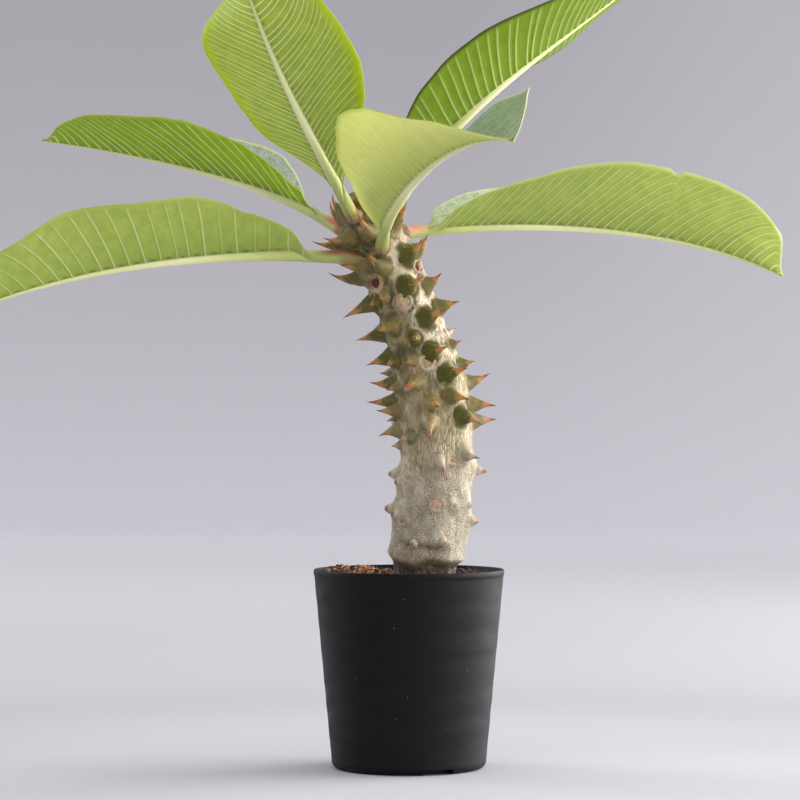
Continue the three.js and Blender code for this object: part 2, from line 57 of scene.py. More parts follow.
# Floor: a flat disc that turns up into a low wall all round.
FLOOR_FLAT = 2600.0
FLOOR_BEND = 900.0
FLOOR_WALL = 1400.0
FLOOR_SIDES = 96
FLOOR_FLAT_RINGS = 12
FLOOR_BEND_RINGS = 24

# Sky: the heights of its direction between which it brightens, its strength
# near the wall's top and overhead, and its tint.
SKY_RISE = (0.45, 1.0)
SKY_STRENGTH = (0.3, 1.7)
SKY_TINT = (0.84, 0.838, 0.865, 1)

# Lights: name, place, what it aims at, size, watts, tint and spread.
LIGHTS = [
    ("key", (1500, 260, 640), (0, 0, 180), (1300, 1300), 17, (1.0, 0.97, 0.93), 110),
    ("rim", (-1700, 900, 900), (0, 0, 180), (900, 900), 3, (0.97, 0.98, 1.0), 80),
    ("edge", (1250, 1000, 330), (0, 0, 160), (500, 1100), 5, (1.0, 0.98, 0.95), 90),
    ("fill", (500, -1900, 900), (0, 0, 180), (1400, 1400), 2.6, (1.0, 1.0, 0.99), 120),
    ("side", (1500, -800, 260), (0, 0, 120), (1000, 1000), 4, (1.0, 0.98, 0.97), 110),
]

# Pot: the drain holes are cut between two heights, beyond the floor's faces.
POT_HEIGHT = 78.0
RIM_RADIUS = 37.5
WALL_TOP_RADIUS = 37.3
BASE_RADIUS = 30.45
BASE_CORNER = 3.0
WALL = 1.4
LIP_INNER_RADIUS = 35.9
LIP_HEIGHT = 2.4
FLOOR_THICK = 3.0
POT_FLOOR_RING = 8
LIP_CORNER = 0.5
LIP_BEVEL = 0.15
POT_SIDES = 180
POT_BASE_RINGS = 8
POT_CORNER_RINGS = 6
POT_RINGS = 90
POT_INNER_RINGS = 20
POT_SHARP_ANGLE = 40
RIPPLE = 0.05
BAND_PITCH = 11.5
BAND_TILT = 0.05
NOTCH_SIZE = (11.0, 12.0, 4.0)
NOTCH_COUNT = 3
FRONT_NOTCH_BEARING = -67.0
DRAIN_HOLE_RADIUS = 4.0
DRAIN_HOLE_CIRCLE = 15.0
DRAIN_HOLE_SIDES = 32
DRAIN_HOLE_ENDS = (-3, 9)

# Soil
SOIL_GAP = 0.3
SOIL_LEVEL = 74.2
SOIL_SLOPE = 0.055
SOIL_MOUND = 1.2
SOIL_MOUND_SPREAD = 420
SOIL_SIDES = 120
SOIL_RINGS = 44
GRAIN_COUNT = 1500
GRAIN_SIZES = (0.45, 1.25)
GRAIN_SHAPES = (0.7, 1.2)
GRAIN_LIFTS = (-0.2, 0.9)
GRAIN_EDGE_GAP = 1.4
GRAIN_SEED = 7

# Stem
STEM_SIDES = 168
STEM_STEP = 0.5
STEM_FROM = 66.0
STEM_TOP = 227.0
STEM_LINE = [
    (50, 5.6, 0, 13.6), (64, 5.8, 0, 14.2), (76, 6.3, 0, 14.6), (84, 6.9, 0, 15.1),
    (96, 8.4, 0, 14.6), (108, 9.8, 0, 14.4), (122, 10.9, 0, 13.9), (136, 10.4, 0, 13.4),
    (152, 8.3, 0, 12.9), (164, 5.2, 0, 12.2), (176, 1.2, 0, 11.6), (188, -3.2, 0, 11.2),
    (200, -8.4, 0, 11.2), (210, -13.4, 0, 10.8), (218, -16.6, 0, 9.0),
    (224, -18.2, 0, 5.8), (227, -18.8, 0, 1.7),
]

# Heights between which the stem's looks change, and what its foot is like.
SWELLS = (80, 84)
NET_ENDS = (160, 195)
YOUNG_BARK = (122, 164)
CROWN_BARK = (196, 210)
MID_BARK = (108, 126)
# Heights of the painted shade: dark green on the stem's side away from the key light.
LEFT_SHADE_HEIGHTS = (138, 168)
# Heights of the painted sunlight: paler bark on the stem's side towards the key light.
SUNLIT_FROM = (140, 165)
SUNLIT_TO = (200, 212)
SPINES_BULGE = (112, 132)
SPINES_POINTED = (110, 126)
SPINES_YOUNG = (116, 144)
GREEN_TINGE = 140
FOLD_HEIGHT = 87.4
FOLD_DEPTH = 0.5
FOOT_HEIGHT = 80
FOOT_DEPTH = 2.6

# Where the stem leaves the soil, and its radius there.
SOIL_STEM_X = 6.3
SOIL_STEM_RADIUS = 14.6

# Spines of the front: height, bearing, length, lift above level and how green
# the foot is.
FRONT_SPINES = [
    (211, 180, 14.5, 25, 0.7), (211.5, -152, 11.5, 22, 0.5), (198, 172, 14.5, 30, 0.8),
    (202, -150, 10, 24, 0.6), (187, -172, 14.5, -5, 0.9), (175, 178, 12, 4, 1.0),
    (165, -170, 11, -2, 1.0), (159, 165, 7, 10, 0.5), (154, -172, 11, 12, 0.8),
    (146, 180, 13, 6, 0.7), (142, -167, 10, 6, 0.4), (134, -176, 9.5, -13, 0.3),
    (127, -170, 4.5, -5, 0.4), (114, -178, 4.5, -4, 0), (111, -156, 3, -4, 0),
    (100, -168, 4.5, -4, 0), (98, -150, 3.5, -6, 0),
    (219, 170, 9, 65, 0.2), (221, -165, 8.5, 65, 0.3), (222, -128, 9, 60, 0.5),
    (221, -96, 8, 50, 0.5), (210.5, -100, 10, 62, 0.5),
    (210.7, -41, 10.5, 30, 0.4), (197.5, -52, 11, 22, 1.0), (198, -28, 10, 26, 0.4),
    (186, -28, 8, 16, 0.4), (187.5, -76, 9, 10, 1.0), (177, -20, 9.5, -3, 0.6),
    (174.5, -62, 9.5, 4, 1.0), (163, -25, 5, 3, 0.5), (162, -74, 8, 4, 1.0),
    (155.5, -14, 6.5, 0, 0.7), (153, -58, 9.5, 6, 1.0), (149, 5, 11, 12, 0.5),
    (145, -60, 9, -16, 0.6), (141, -4, 11.5, -8, 0.4), (135, 6, 11, 0, 0.5),
    (137, -42, 9.5, -24, 1.0), (123, -44, 7.5, -8, 0.4), (118, -4, 6, -4, 0.1),
    (105, -24, 2.6, 6, 0), (99, -10, 4.5, 4, 0),
    (187, -150, 5, -8, 1.0), (176, -130, 9, 2, 0.7), (163, -149, 6, -8, 1.0),
    (161, -111, 5, 0, 0.1), (152, -112, 8, -6, 0), (143, -92, 8, -12, 0),
    (136, -98, 9.5, -46, 0), (131, -136, 6.5, -24, 0.8), (121, -86, 6, -50, 0),
    (88, -112, 1.4, -6, 0), (90, -68, 1.9, -6, 0),
    (198, -108, 9, 60, 0.7), (169, -96, 5, 0, 0.9), (187, -124, 4.5, 14, 0),
    (152, -158, 6, -6, 0.2), (139, 176, 6, -10, 0.5),
]

# Old leaf scars of the front: height, bearing, radius, kind.
FRONT_SCARS = [
    (193.5, -137, 3.4, "pit"), (193, -36, 2.1, "pit"), (183, -96, 3.1, "flat"),
    (172, -40, 1.6, "flat"), (159, -88, 2.5, "ring"), (151, -132, 2.2, "flat"),
    (133, -128, 1.3, "dot"), (121, -64, 1.9, "dot"), (104, -84, 2.7, "flat"),
    (110, -136, 1.6, "flat"), (96, -136, 2.0, "dot"), (104, -58, 1.2, "dot"),
]

# Round the back a spiral goes on by rule: its turn and rise a step, its reach in
# height and bearing, and how far apart the two spines of a pair are.
SPIRAL_TURN = 137.5
SPIRAL_RISE = 3.2
SPIRAL_START = 92.0
SPIRAL_END = 221.0
BACK_FROM = 52.0
BACK_TO = 128.0
PAIR_SPREAD = 17.0
BACK_SCAR_KINDS = ("flat", "dot", "ring", "flat")
SCAR_DEPTHS = {"pit": 2.2, "flat": 0.45, "ring": 0.5, "dot": 0.5}
STEM_VALUES = (
    "young", "crown", "mid", "netted", "painted_sunlight", "green", "ring", "blush", "pit", "brown_and_shade", "reach",
)
SPINE_SIDES = 18
SPINE_RINGS = 16
SPINE_BURIED = (-1.8, -0.8)
TIP_TURN = 52.0
TIP_TURN_FROM = -98
TIP_TURN_MIDDLE = -90
SPINE_END = 0.014
SPINE_SECTION = (0.94, 1.08)
COLLAR_SIDES = 40
COLLAR_RINGS = 26

# Leaves: midrib (base, two pulls, tip), its bare share (stalk), half width and
# the outline's shape, the roll and both halves' fold angles at the base, middle
# and tip, and the margin's waves. Then the veins: how many, their slant, skew
# (more slant on one half), lowest strength (faint) and line width. rim is where
# the pale margin starts across, which on one leaf is a wide band of painted light.
# A leaf may name the half painted in shade, which lets less light through, and
# nicks give half, place, depth and reach. A half is 1 or -1.
LEAVES = {
    "leaf_left_low": dict(
        midrib=[(-25, -9, 200.3), (-78.8, -17, 201.5), (-128.4, -33.5, 196.3), (-177.2, -47, 173.6)],
        stalk=0.07, width=32.1, shoulder=0.64, widest=0.61, tip_power=2.57,
        roll=(6.7, 2.4, 8), folds=((65, 50.6, 31.4), (62.5, 49.6, 28)),
        wave=2.0, waves=3.04, phases=(2.0, 2.6),
        veins=24, slant=(0.0, 0.3, 0.95), faint=0.35, point=0.6, nicks=((-1, 0.2, 1.3, 0.03),),
    ),
    "leaf_left_high": dict(
        midrib=[(-26.8, 4, 211.7), (-53.2, 46.1, 232.1), (-109.7, 79.7, 248.3), (-153.6, 72.7, 253.6)],
        stalk=0.07, width=30.5, shoulder=0.73, widest=0.66, tip_power=2.15,
        roll=(2.7, 4, 12), folds=((66, 37.7, 31.9), (65, 35.9, 26.4)),
        wave=0.9, waves=2.68, phases=(-0.48, 1.25),
        # One half is painted in shade: it lets less light through.
        veins=28, slant=(1.0, 1.1, 1.1), base=2.6, point=1.0, dim=1, line=1.5,
        nicks=((1, 0.12, 9, 0.2), (-1, 0.15, 6.5, 0.15)),
    ),
    "leaf_top_left": dict(
        midrib=[(-22.6, -10, 217.5), (-37.6, -63.1, 244.8), (-48.8, -116.2, 259.6), (-62.2, -108.7, 303.4)],
        stalk=0.065, width=30.6, shoulder=0.82, widest=0.7, tip_power=2.38,
        roll=(11.5, 2.8, -19.8), folds=((34.7, 12.4, 9.5), (28.7, 11.7, 19.5)),
        wave=-1.48, waves=2.38, phases=(9.04, 3.67),
        # Its wide bright margin band is painted light, shining through the curled edge.
        veins=38, slant=(0.9, 1.1, 1.1), skew=-0.4, base=1.5, rim=0.8, line=1.2,
    ),
    "leaf_front": dict(
        midrib=[(-10.5, -13, 204.4), (-9.4, -65.4, 216), (13.7, -106.1, 242), (35.7, -150.4, 232.6)],
        stalk=0.1, width=35.4, shoulder=0.77, widest=0.5, tip_power=2.4,
        roll=(16.2, 7, 34.8), folds=((58.6, 36.3, 34.2), (57.1, 34.9, 29.9)),
        wave=1.49, waves=2.41, phases=(-6.6, -19.3),
        # One half is painted in shade: it lets less light through.
        veins=34, slant=(0.5, 0.75, 0.9), dim=-1, nicks=((1, 0.47, -3.2, 0.1),),
    ),
    "leaf_top_right": dict(
        midrib=[(-9.1, 8, 212.7), (14, 0, 263), (73.2, 14, 292.3), (108.5, 42.3, 329.8)],
        stalk=0.15, width=32.7, shoulder=0.45, widest=0.57, tip_power=2.46,
        roll=(-46, -20.2, -12.6), folds=((53, 12.4, -0.6), (56, 14.4, 2)),
        wave=0.9, waves=2.51, phases=(1.41, 8.6),
        veins=38, slant=(0.15, 0.25, 0.3),
    ),
    "leaf_right": dict(
        midrib=[(-2.3, -2, 210.1), (33.3, 27.8, 215.9), (103.6, 23, 217.7), (150.2, 17.8, 193.6)],
        stalk=0.08, width=33.2, shoulder=0.56, widest=0.65, tip_power=2.54,
        roll=(20.3, -7.4, -7.5), folds=((45, 44.7, 52.2), (35.3, 49.1, 55.8)),
        wave=1.24, waves=2.45, phases=(-13.66, -6.27),
        # One half is painted in shade: it lets less light through.
        veins=37, slant=(0.8, 0.95, 1.2), point=0.8, rim=0.93, dim=-1, nicks=((1, 0.665, 2.2, 0.018),),
    ),
}

# Leaf colours on a screen: under face, its deeper tone, veins, margin, the
# light that comes through, the upper face and its painted gloss. Shares: the light
# let through, the painted shade in the crease beside a vein and the upper face's
# painted sheen. The leaves' colours differ partly for the light on each, as lit
# and shaded copies of one green. A leaf has the plain look's values where it names none.
PLAIN_LOOK = dict(above=(112, 140, 98), gloss=(158, 176, 144), crease_shade=0.25, painted_sheen=0.7)
LEAF_LOOKS = {
    "leaf_left_low": dict(
        tone=(170, 189, 106), deep=(131, 153, 75), vein=(228, 236, 170), edge=(204, 216, 130),
        light=(239, 246, 163), clear=0.56, blush=(124, 60, 46),
    ),
    "leaf_left_high": dict(
        tone=(137, 162, 38), deep=(99, 131, 23), vein=(242, 248, 184), edge=(206, 222, 130),
        light=(211, 233, 68), clear=0.5,
        above=(96, 124, 92), gloss=(134, 150, 130), crease_shade=0.4, painted_sheen=0.6, blush=(186, 84, 74),
    ),
    "leaf_top_left": dict(
        # Its saturated margin colour is painted light shining through the edge.
        tone=(148, 173, 76), deep=(108, 136, 52), vein=(240, 244, 182), edge=(206, 222, 60),
        light=(228, 238, 142), clear=0.53, blush=(160, 86, 58),
    ),
    "leaf_front": dict(
        tone=(213, 219, 126), deep=(201, 211, 112), vein=(240, 244, 184), edge=(226, 232, 168),
        light=(248, 248, 196), clear=0.78,
        # Its upper face is painted darker, as shade on the half turned from the light.
        above=(80, 126, 66), gloss=(120, 158, 104), crease_shade=0.5, painted_sheen=0.3, blush=(176, 104, 76),
    ),
    "leaf_top_right": dict(
        tone=(132, 157, 41), deep=(96, 125, 29), vein=(216, 228, 140), edge=(84, 96, 42),
        light=(214, 234, 74), clear=0.5, blush=(170, 100, 70),
    ),
    "leaf_right": dict(
        tone=(162, 183, 99), deep=(128, 152, 64), vein=(232, 240, 172), edge=(234, 238, 184),
        light=(236, 241, 170), clear=0.56,
        # Its upper face is painted paler, with strong gloss and sheen, as painted reflection.
        above=(140, 160, 124), gloss=(192, 202, 180), crease_shade=0.45, painted_sheen=0.85, blush=(206, 126, 104),
    ),
}

# Leaf measures that all leaves share: stalk and rib, blade, veins and strips.
LEAF_END = 0.997
STALK_RADIUS = 2.75
RIB_BASE_RADIUS = 2.25
RIB_TIP_RADIUS = 0.45
STALK_TAPER = 0.1
ROOT_SHARE = 0.52
CUSHION_RADIUS = 3.9
COLLAR_REACH = 3.0
BLADE_THICK = 0.62
MARGIN_THICK = 0.3
BLADE_LENGTH = 152.0
VEIN_CORE = 0.12
VEIN_HALF = 0.5
VEIN_HEIGHT = 0.34
VEIN_JITTER = 0.4
CREASE_OUT = 1.1
PILLOW = 0.22
SLANT_ROOM = 0.62
BASE_SHARP_SHARE = 0.12
STALK_ROWS = 16
KEEL_STRIPS = 6
BLADE_STRIPS = 20
STRIP_SPACING = 1.4
BLADE_ZONES = ("under", "over", "edge")
VEIN_CURVE = 1.12
VEIN_WANDER = 0.004
LEAN_BACK = 0.8
TIP_ROUNDNESS = 0.6
MARGIN_ROUGHNESS = 0.012
MARGIN_LIFT = 0.25
FILLET = 0.3
LEAF_SEED = 40
LEAF_SEED_STEP = 7


# Numbers
def chance(seed):
    wave = math.sin(seed * 12.9898 + 4.1414) * 43758.5453
    return wave - math.floor(wave)


def mix(a, b, share):
    return a + (b - a) * share


def smoothstep(value, low, high):
    share = np.clip((value - low) / (high - low), 0, 1)
    return share * share * (3 - 2 * share)


def unit(vectors):
    return vectors / np.linalg.norm(vectors, axis=-1, keepdims=True)


def circle(sides, start=0.0):
    """Level directions once round, from start of a step past +X."""
    turn = 2 * np.pi * (np.arange(sides) + start) / sides
    return np.stack([np.cos(turn), np.sin(turn), np.zeros(sides)], -1)


def along(three, t):
    """Value at t of the curve through three numbers at the base, middle and tip."""
    base, middle, tip = three
    return base * (1 - t) * (1 - 2 * t) + 4 * middle * t * (1 - t) + tip * t * (2 * t - 1)


def noise(points, size, seed):
    """Smooth noise from -1 to 1 whose lumps are about size across."""
    spot = points / size
    cell = np.floor(spot)
    part = spot - cell
    part = part * part * (3 - 2 * part)
    total = 0.0
    for corner in np.ndindex(2, 2, 2):
        place = cell + np.array(corner)
        wave = np.sin(place @ np.array([127.1, 311.7, 74.7]) + seed * 53.3) * 43758.5453
        weight = np.prod(np.where(np.array(corner) == 1, part, 1 - part), axis=-1)
        total = total + (wave - np.floor(wave)) * weight
    return 2 * total - 1


# Mesh making
def make_piece(name, points, faces, material, values=None):
    """A mesh object from points in millimetres, lists of faces and values at the points."""
    mesh = bpy.data.meshes.new(name)
    mesh.from_pydata((np.asarray(points) * METRES).tolist(), [], faces)
    for key, numbers in (values or {}).items():
        layer = mesh.attributes.new(key, "FLOAT", "POINT")
        layer.data.foreach_set("value", np.asarray(numbers, np.float32).ravel())
    mesh.polygons.foreach_set("use_smooth", [True] * len(mesh.polygons))
    mesh.materials.append(material)
    mesh.update()
    piece = bpy.data.objects.new(name, mesh)
    bpy.context.scene.collection.objects.link(piece)
    return piece


def grid_faces(rows, columns):
    """Quads of a grid of points that closes round along its columns."""
    row = np.arange(rows - 1)[:, None]
    column = np.arange(columns)[None, :]
    after = (column + 1) % columns
    a = row * columns + column
    b = row * columns + after
    quads = np.stack([a, b, b + columns, a + columns], axis=-1)
    return quads.reshape(-1, 4).tolist()


def closed_grid(grid, values):
    """Points, outward faces and values of a closed body from rings of points, with capped ends."""
    rows, columns = grid.shape[:2]
    points = np.vstack([grid.reshape(-1, 3), grid[0].mean(0), grid[-1].mean(0)])
    faces = grid_faces(rows, columns)
    first, last = rows * columns, rows * columns + 1
    for j in range(columns):
        after = (j + 1) % columns
        end = (rows - 1) * columns
        faces.append([first, after, j])
        faces.append([last, end + j, end + after])
    flat = {}
    for key, numbers in values.items():
        spread = np.broadcast_to(numbers, (rows, columns))
        flat[key] = np.concatenate([spread.ravel(), [spread[0].mean(), spread[-1].mean()]])
    return points, facing_out(points, faces), flat


def facing_out(points, faces):
    """The faces, turned round if the closed body is inside out."""
    corners = np.array([[f[0], f[1], f[2]] for f in faces])
    a, b, c = (points[corners[:, k]] for k in range(3))
    volume = np.einsum("ij,ij->i", a, np.cross(b, c)).sum()
    return faces if volume > 0 else [f[::-1] for f in faces]


def joined(bodies):
    """One list of points, faces and values from several bodies with the same values."""
    points, faces, values, offset = [], [], {}, 0
    for body_points, body_faces, body_values in bodies:
        points.append(body_points)
        faces.extend([[offset + i for i in f] for f in body_faces])
        for key, numbers in body_values.items():
            values.setdefault(key, []).append(np.asarray(numbers, float))
        offset += len(body_points)
    return np.vstack(points), faces, {k: np.concatenate(v) for k, v in values.items()}


def finish_piece(piece, slot, *nodes):
    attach(piece, "root")
    if nodes:
        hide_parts(*nodes)
    return piece


# Materials
def colour(red, green, blue):
    """A linear colour from the 0 to 255 values that a screen shows."""
    def linear(value):
        share = value / 255
        return share / 12.92 if share <= 0.04045 else ((share + 0.055) / 1.055) ** 2.4

    return (linear(red), linear(green), linear(blue), 1.0)


def put(socket, value):
    """Links or sets a socket. Three numbers for a colour are its screen values."""
    if isinstance(value, bpy.types.NodeSocket):
        socket.id_data.links.new(value, socket)
    elif socket.type == "RGBA" and len(value) == 3:
        socket.default_value = colour(*value)
    else:
        socket.default_value = value


def add_node(tree, kind, inputs=None, **settings):
    """A new node with its settings, and a value or a link for each input named."""
    node = tree.nodes.new("ShaderNode" + kind)
    for name, value in settings.items():
        setattr(node, name, value)
    for name, value in (inputs or {}).items():
        put(node.inputs[name], value)
    return node


class Paint:
    """A material whose nodes are added by short calls. Places are in millimetres."""

    def __init__(self, name):
        self.material = bpy.data.materials.new(name)
        self.material.use_nodes = True
        self.tree = self.material.node_tree
        self.shader = self.tree.nodes["Principled BSDF"]
        self.output = self.tree.nodes["Material Output"]
        place = self.node("TexCoord").outputs["Object"]
        self.place = self.node("VectorMath", {0: place, "Scale": 1 / METRES}, operation="SCALE").outputs[0]

    def node(self, kind, inputs=None, **settings):
        return add_node(self.tree, kind, inputs, **settings)

    def value(self, name):
        return self.node("Attribute", attribute_name=name).outputs["Fac"]

    def stretched(self, sizes):
        scale = tuple(1 / size for size in sizes)
        return self.node("Mapping", {"Scale": scale, "Vector": self.place}).outputs[0]

    def noise(self, sizes, detail=3.0, roughness=0.5):
        inputs = {"Vector": self.stretched(sizes), "Scale": 1.0, "Detail": detail, "Roughness": roughness}
        return self.node("TexNoise", inputs).outputs["Fac"]

    def speckle(self, size, detail=3.0, roughness=0.5):
        return self.noise((size, size, size), detail, roughness)

    def cells(self, sizes, wobble):
        place = self.node("VectorMath", {0: self.stretched(sizes), 1: wobble}, operation="ADD").outputs[0]
        inputs = {"Vector": place, "Scale": 1.0}
        return self.node("TexVoronoi", inputs, feature="DISTANCE_TO_EDGE").outputs["Distance"]

    def math(self, operation, *terms):
        return self.node("Math", dict(enumerate(terms)), operation=operation).outputs[0]

    def times(self, a, b):
        return self.math("MULTIPLY", a, b)

    def between(self, value, low, high, to_low=0.0, to_high=1.0):
        inputs = {"Value": value, "From Min": low, "From Max": high, "To Min": to_low, "To Max": to_high}
        return self.node("MapRange", inputs, interpolation_type="SMOOTHSTEP").outputs["Result"]

    def blend(self, share, a, b, kind="MIX"):
        return self.node("Mix", {0: share, 6: a, 7: b}, data_type="RGBA", blend_type=kind).outputs[2]

    def layers(self, base, coats):
        """Coats laid over a base one after another, each with its share and colour."""
        for share, coat in coats:
            base = self.blend(share, base, coat)
        return base

    def ramp(self, value, stops):
        node = self.node("ValToRGB", {"Fac": value})
        elements = node.color_ramp.elements
        while len(elements) < len(stops):
            elements.new(0.5)
        for element, (place, shade) in zip(elements, stops):
            element.position = place
            element.color = colour(*shade)
        return node.outputs["Color"]

    def bump(self, height, distance, normal=None):
        inputs = {"Strength": 1.0, "Distance": distance * METRES, "Height": height}
        if normal is not None:
            inputs["Normal"] = normal
        return self.node("Bump", inputs).outputs["Normal"]

    def set(self, **sockets):
        for name, value in sockets.items():
            put(self.shader.inputs[name.replace("_", " ")], value)
        return self.material


def pot_paint():
    paint = Paint("black_plastic")
    dust = paint.between(paint.speckle(0.9, 1.0), 0.76, 0.82)
    lone = paint.between(paint.speckle(5, 2.0), 0.52, 0.62)
    scuff = paint.between(paint.noise((7, 7, 0.5), 4.0, 0.6), 0.66, 0.8)
    base = paint.layers(paint.blend(paint.noise((26, 26, 9), 3.0), (3, 3, 7), (10, 9, 15)), [
        (paint.times(dust, lone), (150, 146, 138)), (paint.times(scuff, 0.25), (92, 92, 98)),
    ])
    rough = paint.between(paint.noise((14, 14, 5), 3.0), 0.3, 0.7, 0.48, 0.6)
    grain = paint.bump(paint.speckle(0.35, 2.0), 0.012)
    bands = paint.bump(paint.noise((60, 60, 3.4), 2.0, 0.5), 0.16, normal=grain)
    return paint.set(Base_Color=base, Roughness=rough, Normal=bands, IOR=1.29)


def soil_paint():
    paint = Paint("damp_soil")
    base = paint.ramp(paint.speckle(1.6, 4.0, 0.7), [
        (0.3, (30, 20, 15)), (0.52, (66, 42, 30)), (0.75, (108, 70, 46)),
    ])
    return paint.set(Base_Color=base, Roughness=0.95, Normal=paint.bump(paint.speckle(0.7, 4.0), 0.5))


def grain_paint():
    paint = Paint("soil_grains")
    base = paint.ramp(paint.value("tone"), [
        (0.0, (40, 24, 18)), (0.3, (84, 48, 32)), (0.55, (134, 80, 50)),
        (0.8, (180, 118, 76)), (0.97, (206, 178, 146)),
    ])
    mottle = paint.between(paint.speckle(0.5, 3.0), 0.35, 0.65, 0.6, 1.15)
    base = paint.blend(1.0, base, mottle, "MULTIPLY")
    return paint.set(Base_Color=base, Roughness=0.9, Normal=paint.bump(paint.speckle(0.3, 3.0), 0.12))


def bark_paint():
    """Silvery bark with a fine net, fissured half way up and olive above; darker brown in a fold and at the
    foot, where painted shade stands in for the shade under the bulge; painted sunlight on the side towards
    the light and painted shade in dark green on the other side.
    """
    paint = Paint("silvery_bark")
    young, mid, crown, netted = (paint.value(key) for key in ("young", "mid", "crown", "netted"))
    patch = paint.between(paint.noise((7, 7, 11), 4.0, 0.6), 0.35, 0.68)
    tone = paint.noise((2.4, 2.4, 4.5), 4.0, 0.6)
    lower = paint.blend(patch, (166, 158, 138), (205, 195, 177))
    lower = paint.blend(paint.times(mid, 0.45), lower, (182, 160, 112))
    upper = paint.blend(patch, (62, 56, 24), (190, 168, 124))
    upper = paint.blend(crown, upper, paint.blend(patch, (44, 38, 6), (136, 108, 44)))
    # Painted sunlight: pale patches on the side towards the light.
    sunlit_patches = paint.between(paint.noise((3.5, 3.5, 5), 3.0, 0.6), 0.38, 0.58)
    fleck = paint.between(paint.noise((1.1, 1.1, 1.4), 3.0, 0.6), 0.6, 0.68, 0.0, 0.8)
    pebbles = paint.cells((0.72, 0.72, 1.0), paint.noise((3, 3, 5), 2.0))
    fissures = paint.cells((1.0, 1.0, 5.5), paint.noise((2, 2, 6), 3.0))
    net = paint.blend(mid, pebbles, fissures)
    crack = paint.between(net, 0.0, 0.2, 1.0, 0.0)
    crack = paint.times(crack, paint.between(paint.noise((6, 6, 9), 2.0), 0.3, 0.7, 0.35, 0.9))
    sore = paint.ramp(paint.noise((0.9, 0.9, 1.4), 4.0, 0.7), [
        (0.3, (150, 106, 76)), (0.44, (198, 156, 124)), (0.66, (220, 190, 158)),
    ])
    # Darker brown in the fold, and painted shade at the foot where it tucks in.
    brown_and_shade = paint.times(paint.value("brown_and_shade"), paint.between(tone, 0.3, 0.6, 0.6, 1.0))
    base = paint.layers(lower, [
        (young, upper),
        # Painted sunlight on the side towards the light.
        (paint.times(sunlit_patches, paint.value("painted_sunlight")), (240, 222, 196)),
        (paint.times(fleck, crown), (180, 112, 56)),
        (paint.between(tone, 0.45, 0.74, 0.0, 0.45), (112, 108, 68)),
        (paint.between(tone, 0.2, 0.4, 0.5, 0.0), (232, 222, 204)),
        (paint.times(crack, netted), (112, 100, 64)),
        # Green of the spines' feet, with painted shade in dark green on the side away from the light.
        (paint.value("green"), paint.blend(tone, (36, 42, 6), (100, 98, 28))),
        (paint.value("ring"), (206, 196, 164)),
        (paint.value("blush"), sore),
        (paint.value("pit"), (84, 26, 16)),
        # Brown fold and painted shade at the foot.
        (brown_and_shade, (54, 38, 22)),
    ])
    normal = paint.bump(paint.times(paint.between(net, 0.0, 0.3), netted), 0.16)
    normal = paint.bump(paint.noise((0.5, 0.5, 0.8), 3.0), 0.1, normal=normal)
    rough = paint.between(tone, 0.3, 0.7, 0.5, 0.68)
    return paint.set(Base_Color=base, Roughness=rough, Normal=normal, Specular_IOR_Level=0.3)


def spine_paint():
    """Spines: bark-coloured or dark green feet, greener on their left flanks as painted shade, tan shafts
    and dark tips, greyer low down.
    """
    paint = Paint("spine_horn")
    mottle = paint.speckle(1.6, 4.0, 0.6)
    young = paint.value("young")
    pale = paint.blend(mottle, (152, 144, 120), (196, 186, 164))
    dull = paint.blend(mottle, (96, 84, 36), (168, 146, 96))
    deep = paint.blend(mottle, (38, 44, 8), (106, 102, 30))
    reach = paint.math("ADD", paint.value("reach"), paint.between(mottle, 0.3, 0.7, -0.1, 0.1))
    shaft = paint.ramp(reach, [
        (0.4, (140, 124, 60)), (0.58, (194, 146, 84)), (0.78, (172, 104, 58)),
        (0.9, (104, 56, 42)), (1.0, (64, 34, 32)),
    ])
    grey = paint.ramp(reach, [
        (0.5, (212, 202, 182)), (0.8, (170, 140, 118)), (1.0, (112, 84, 70)),
    ])
    base = paint.layers(pale, [
        # Green feet, deeper on their left flanks as painted shade.
        (young, dull), (paint.value("green"), deep),
        (paint.between(reach, 0.4, 0.74), paint.blend(young, grey, shaft)),
    ])
    normal = paint.bump(paint.noise((0.5, 0.5, 0.9), 3.0), 0.06)
    return paint.set(Base_Color=base, Roughness=0.45, Normal=normal, Specular_IOR_Level=0.35)


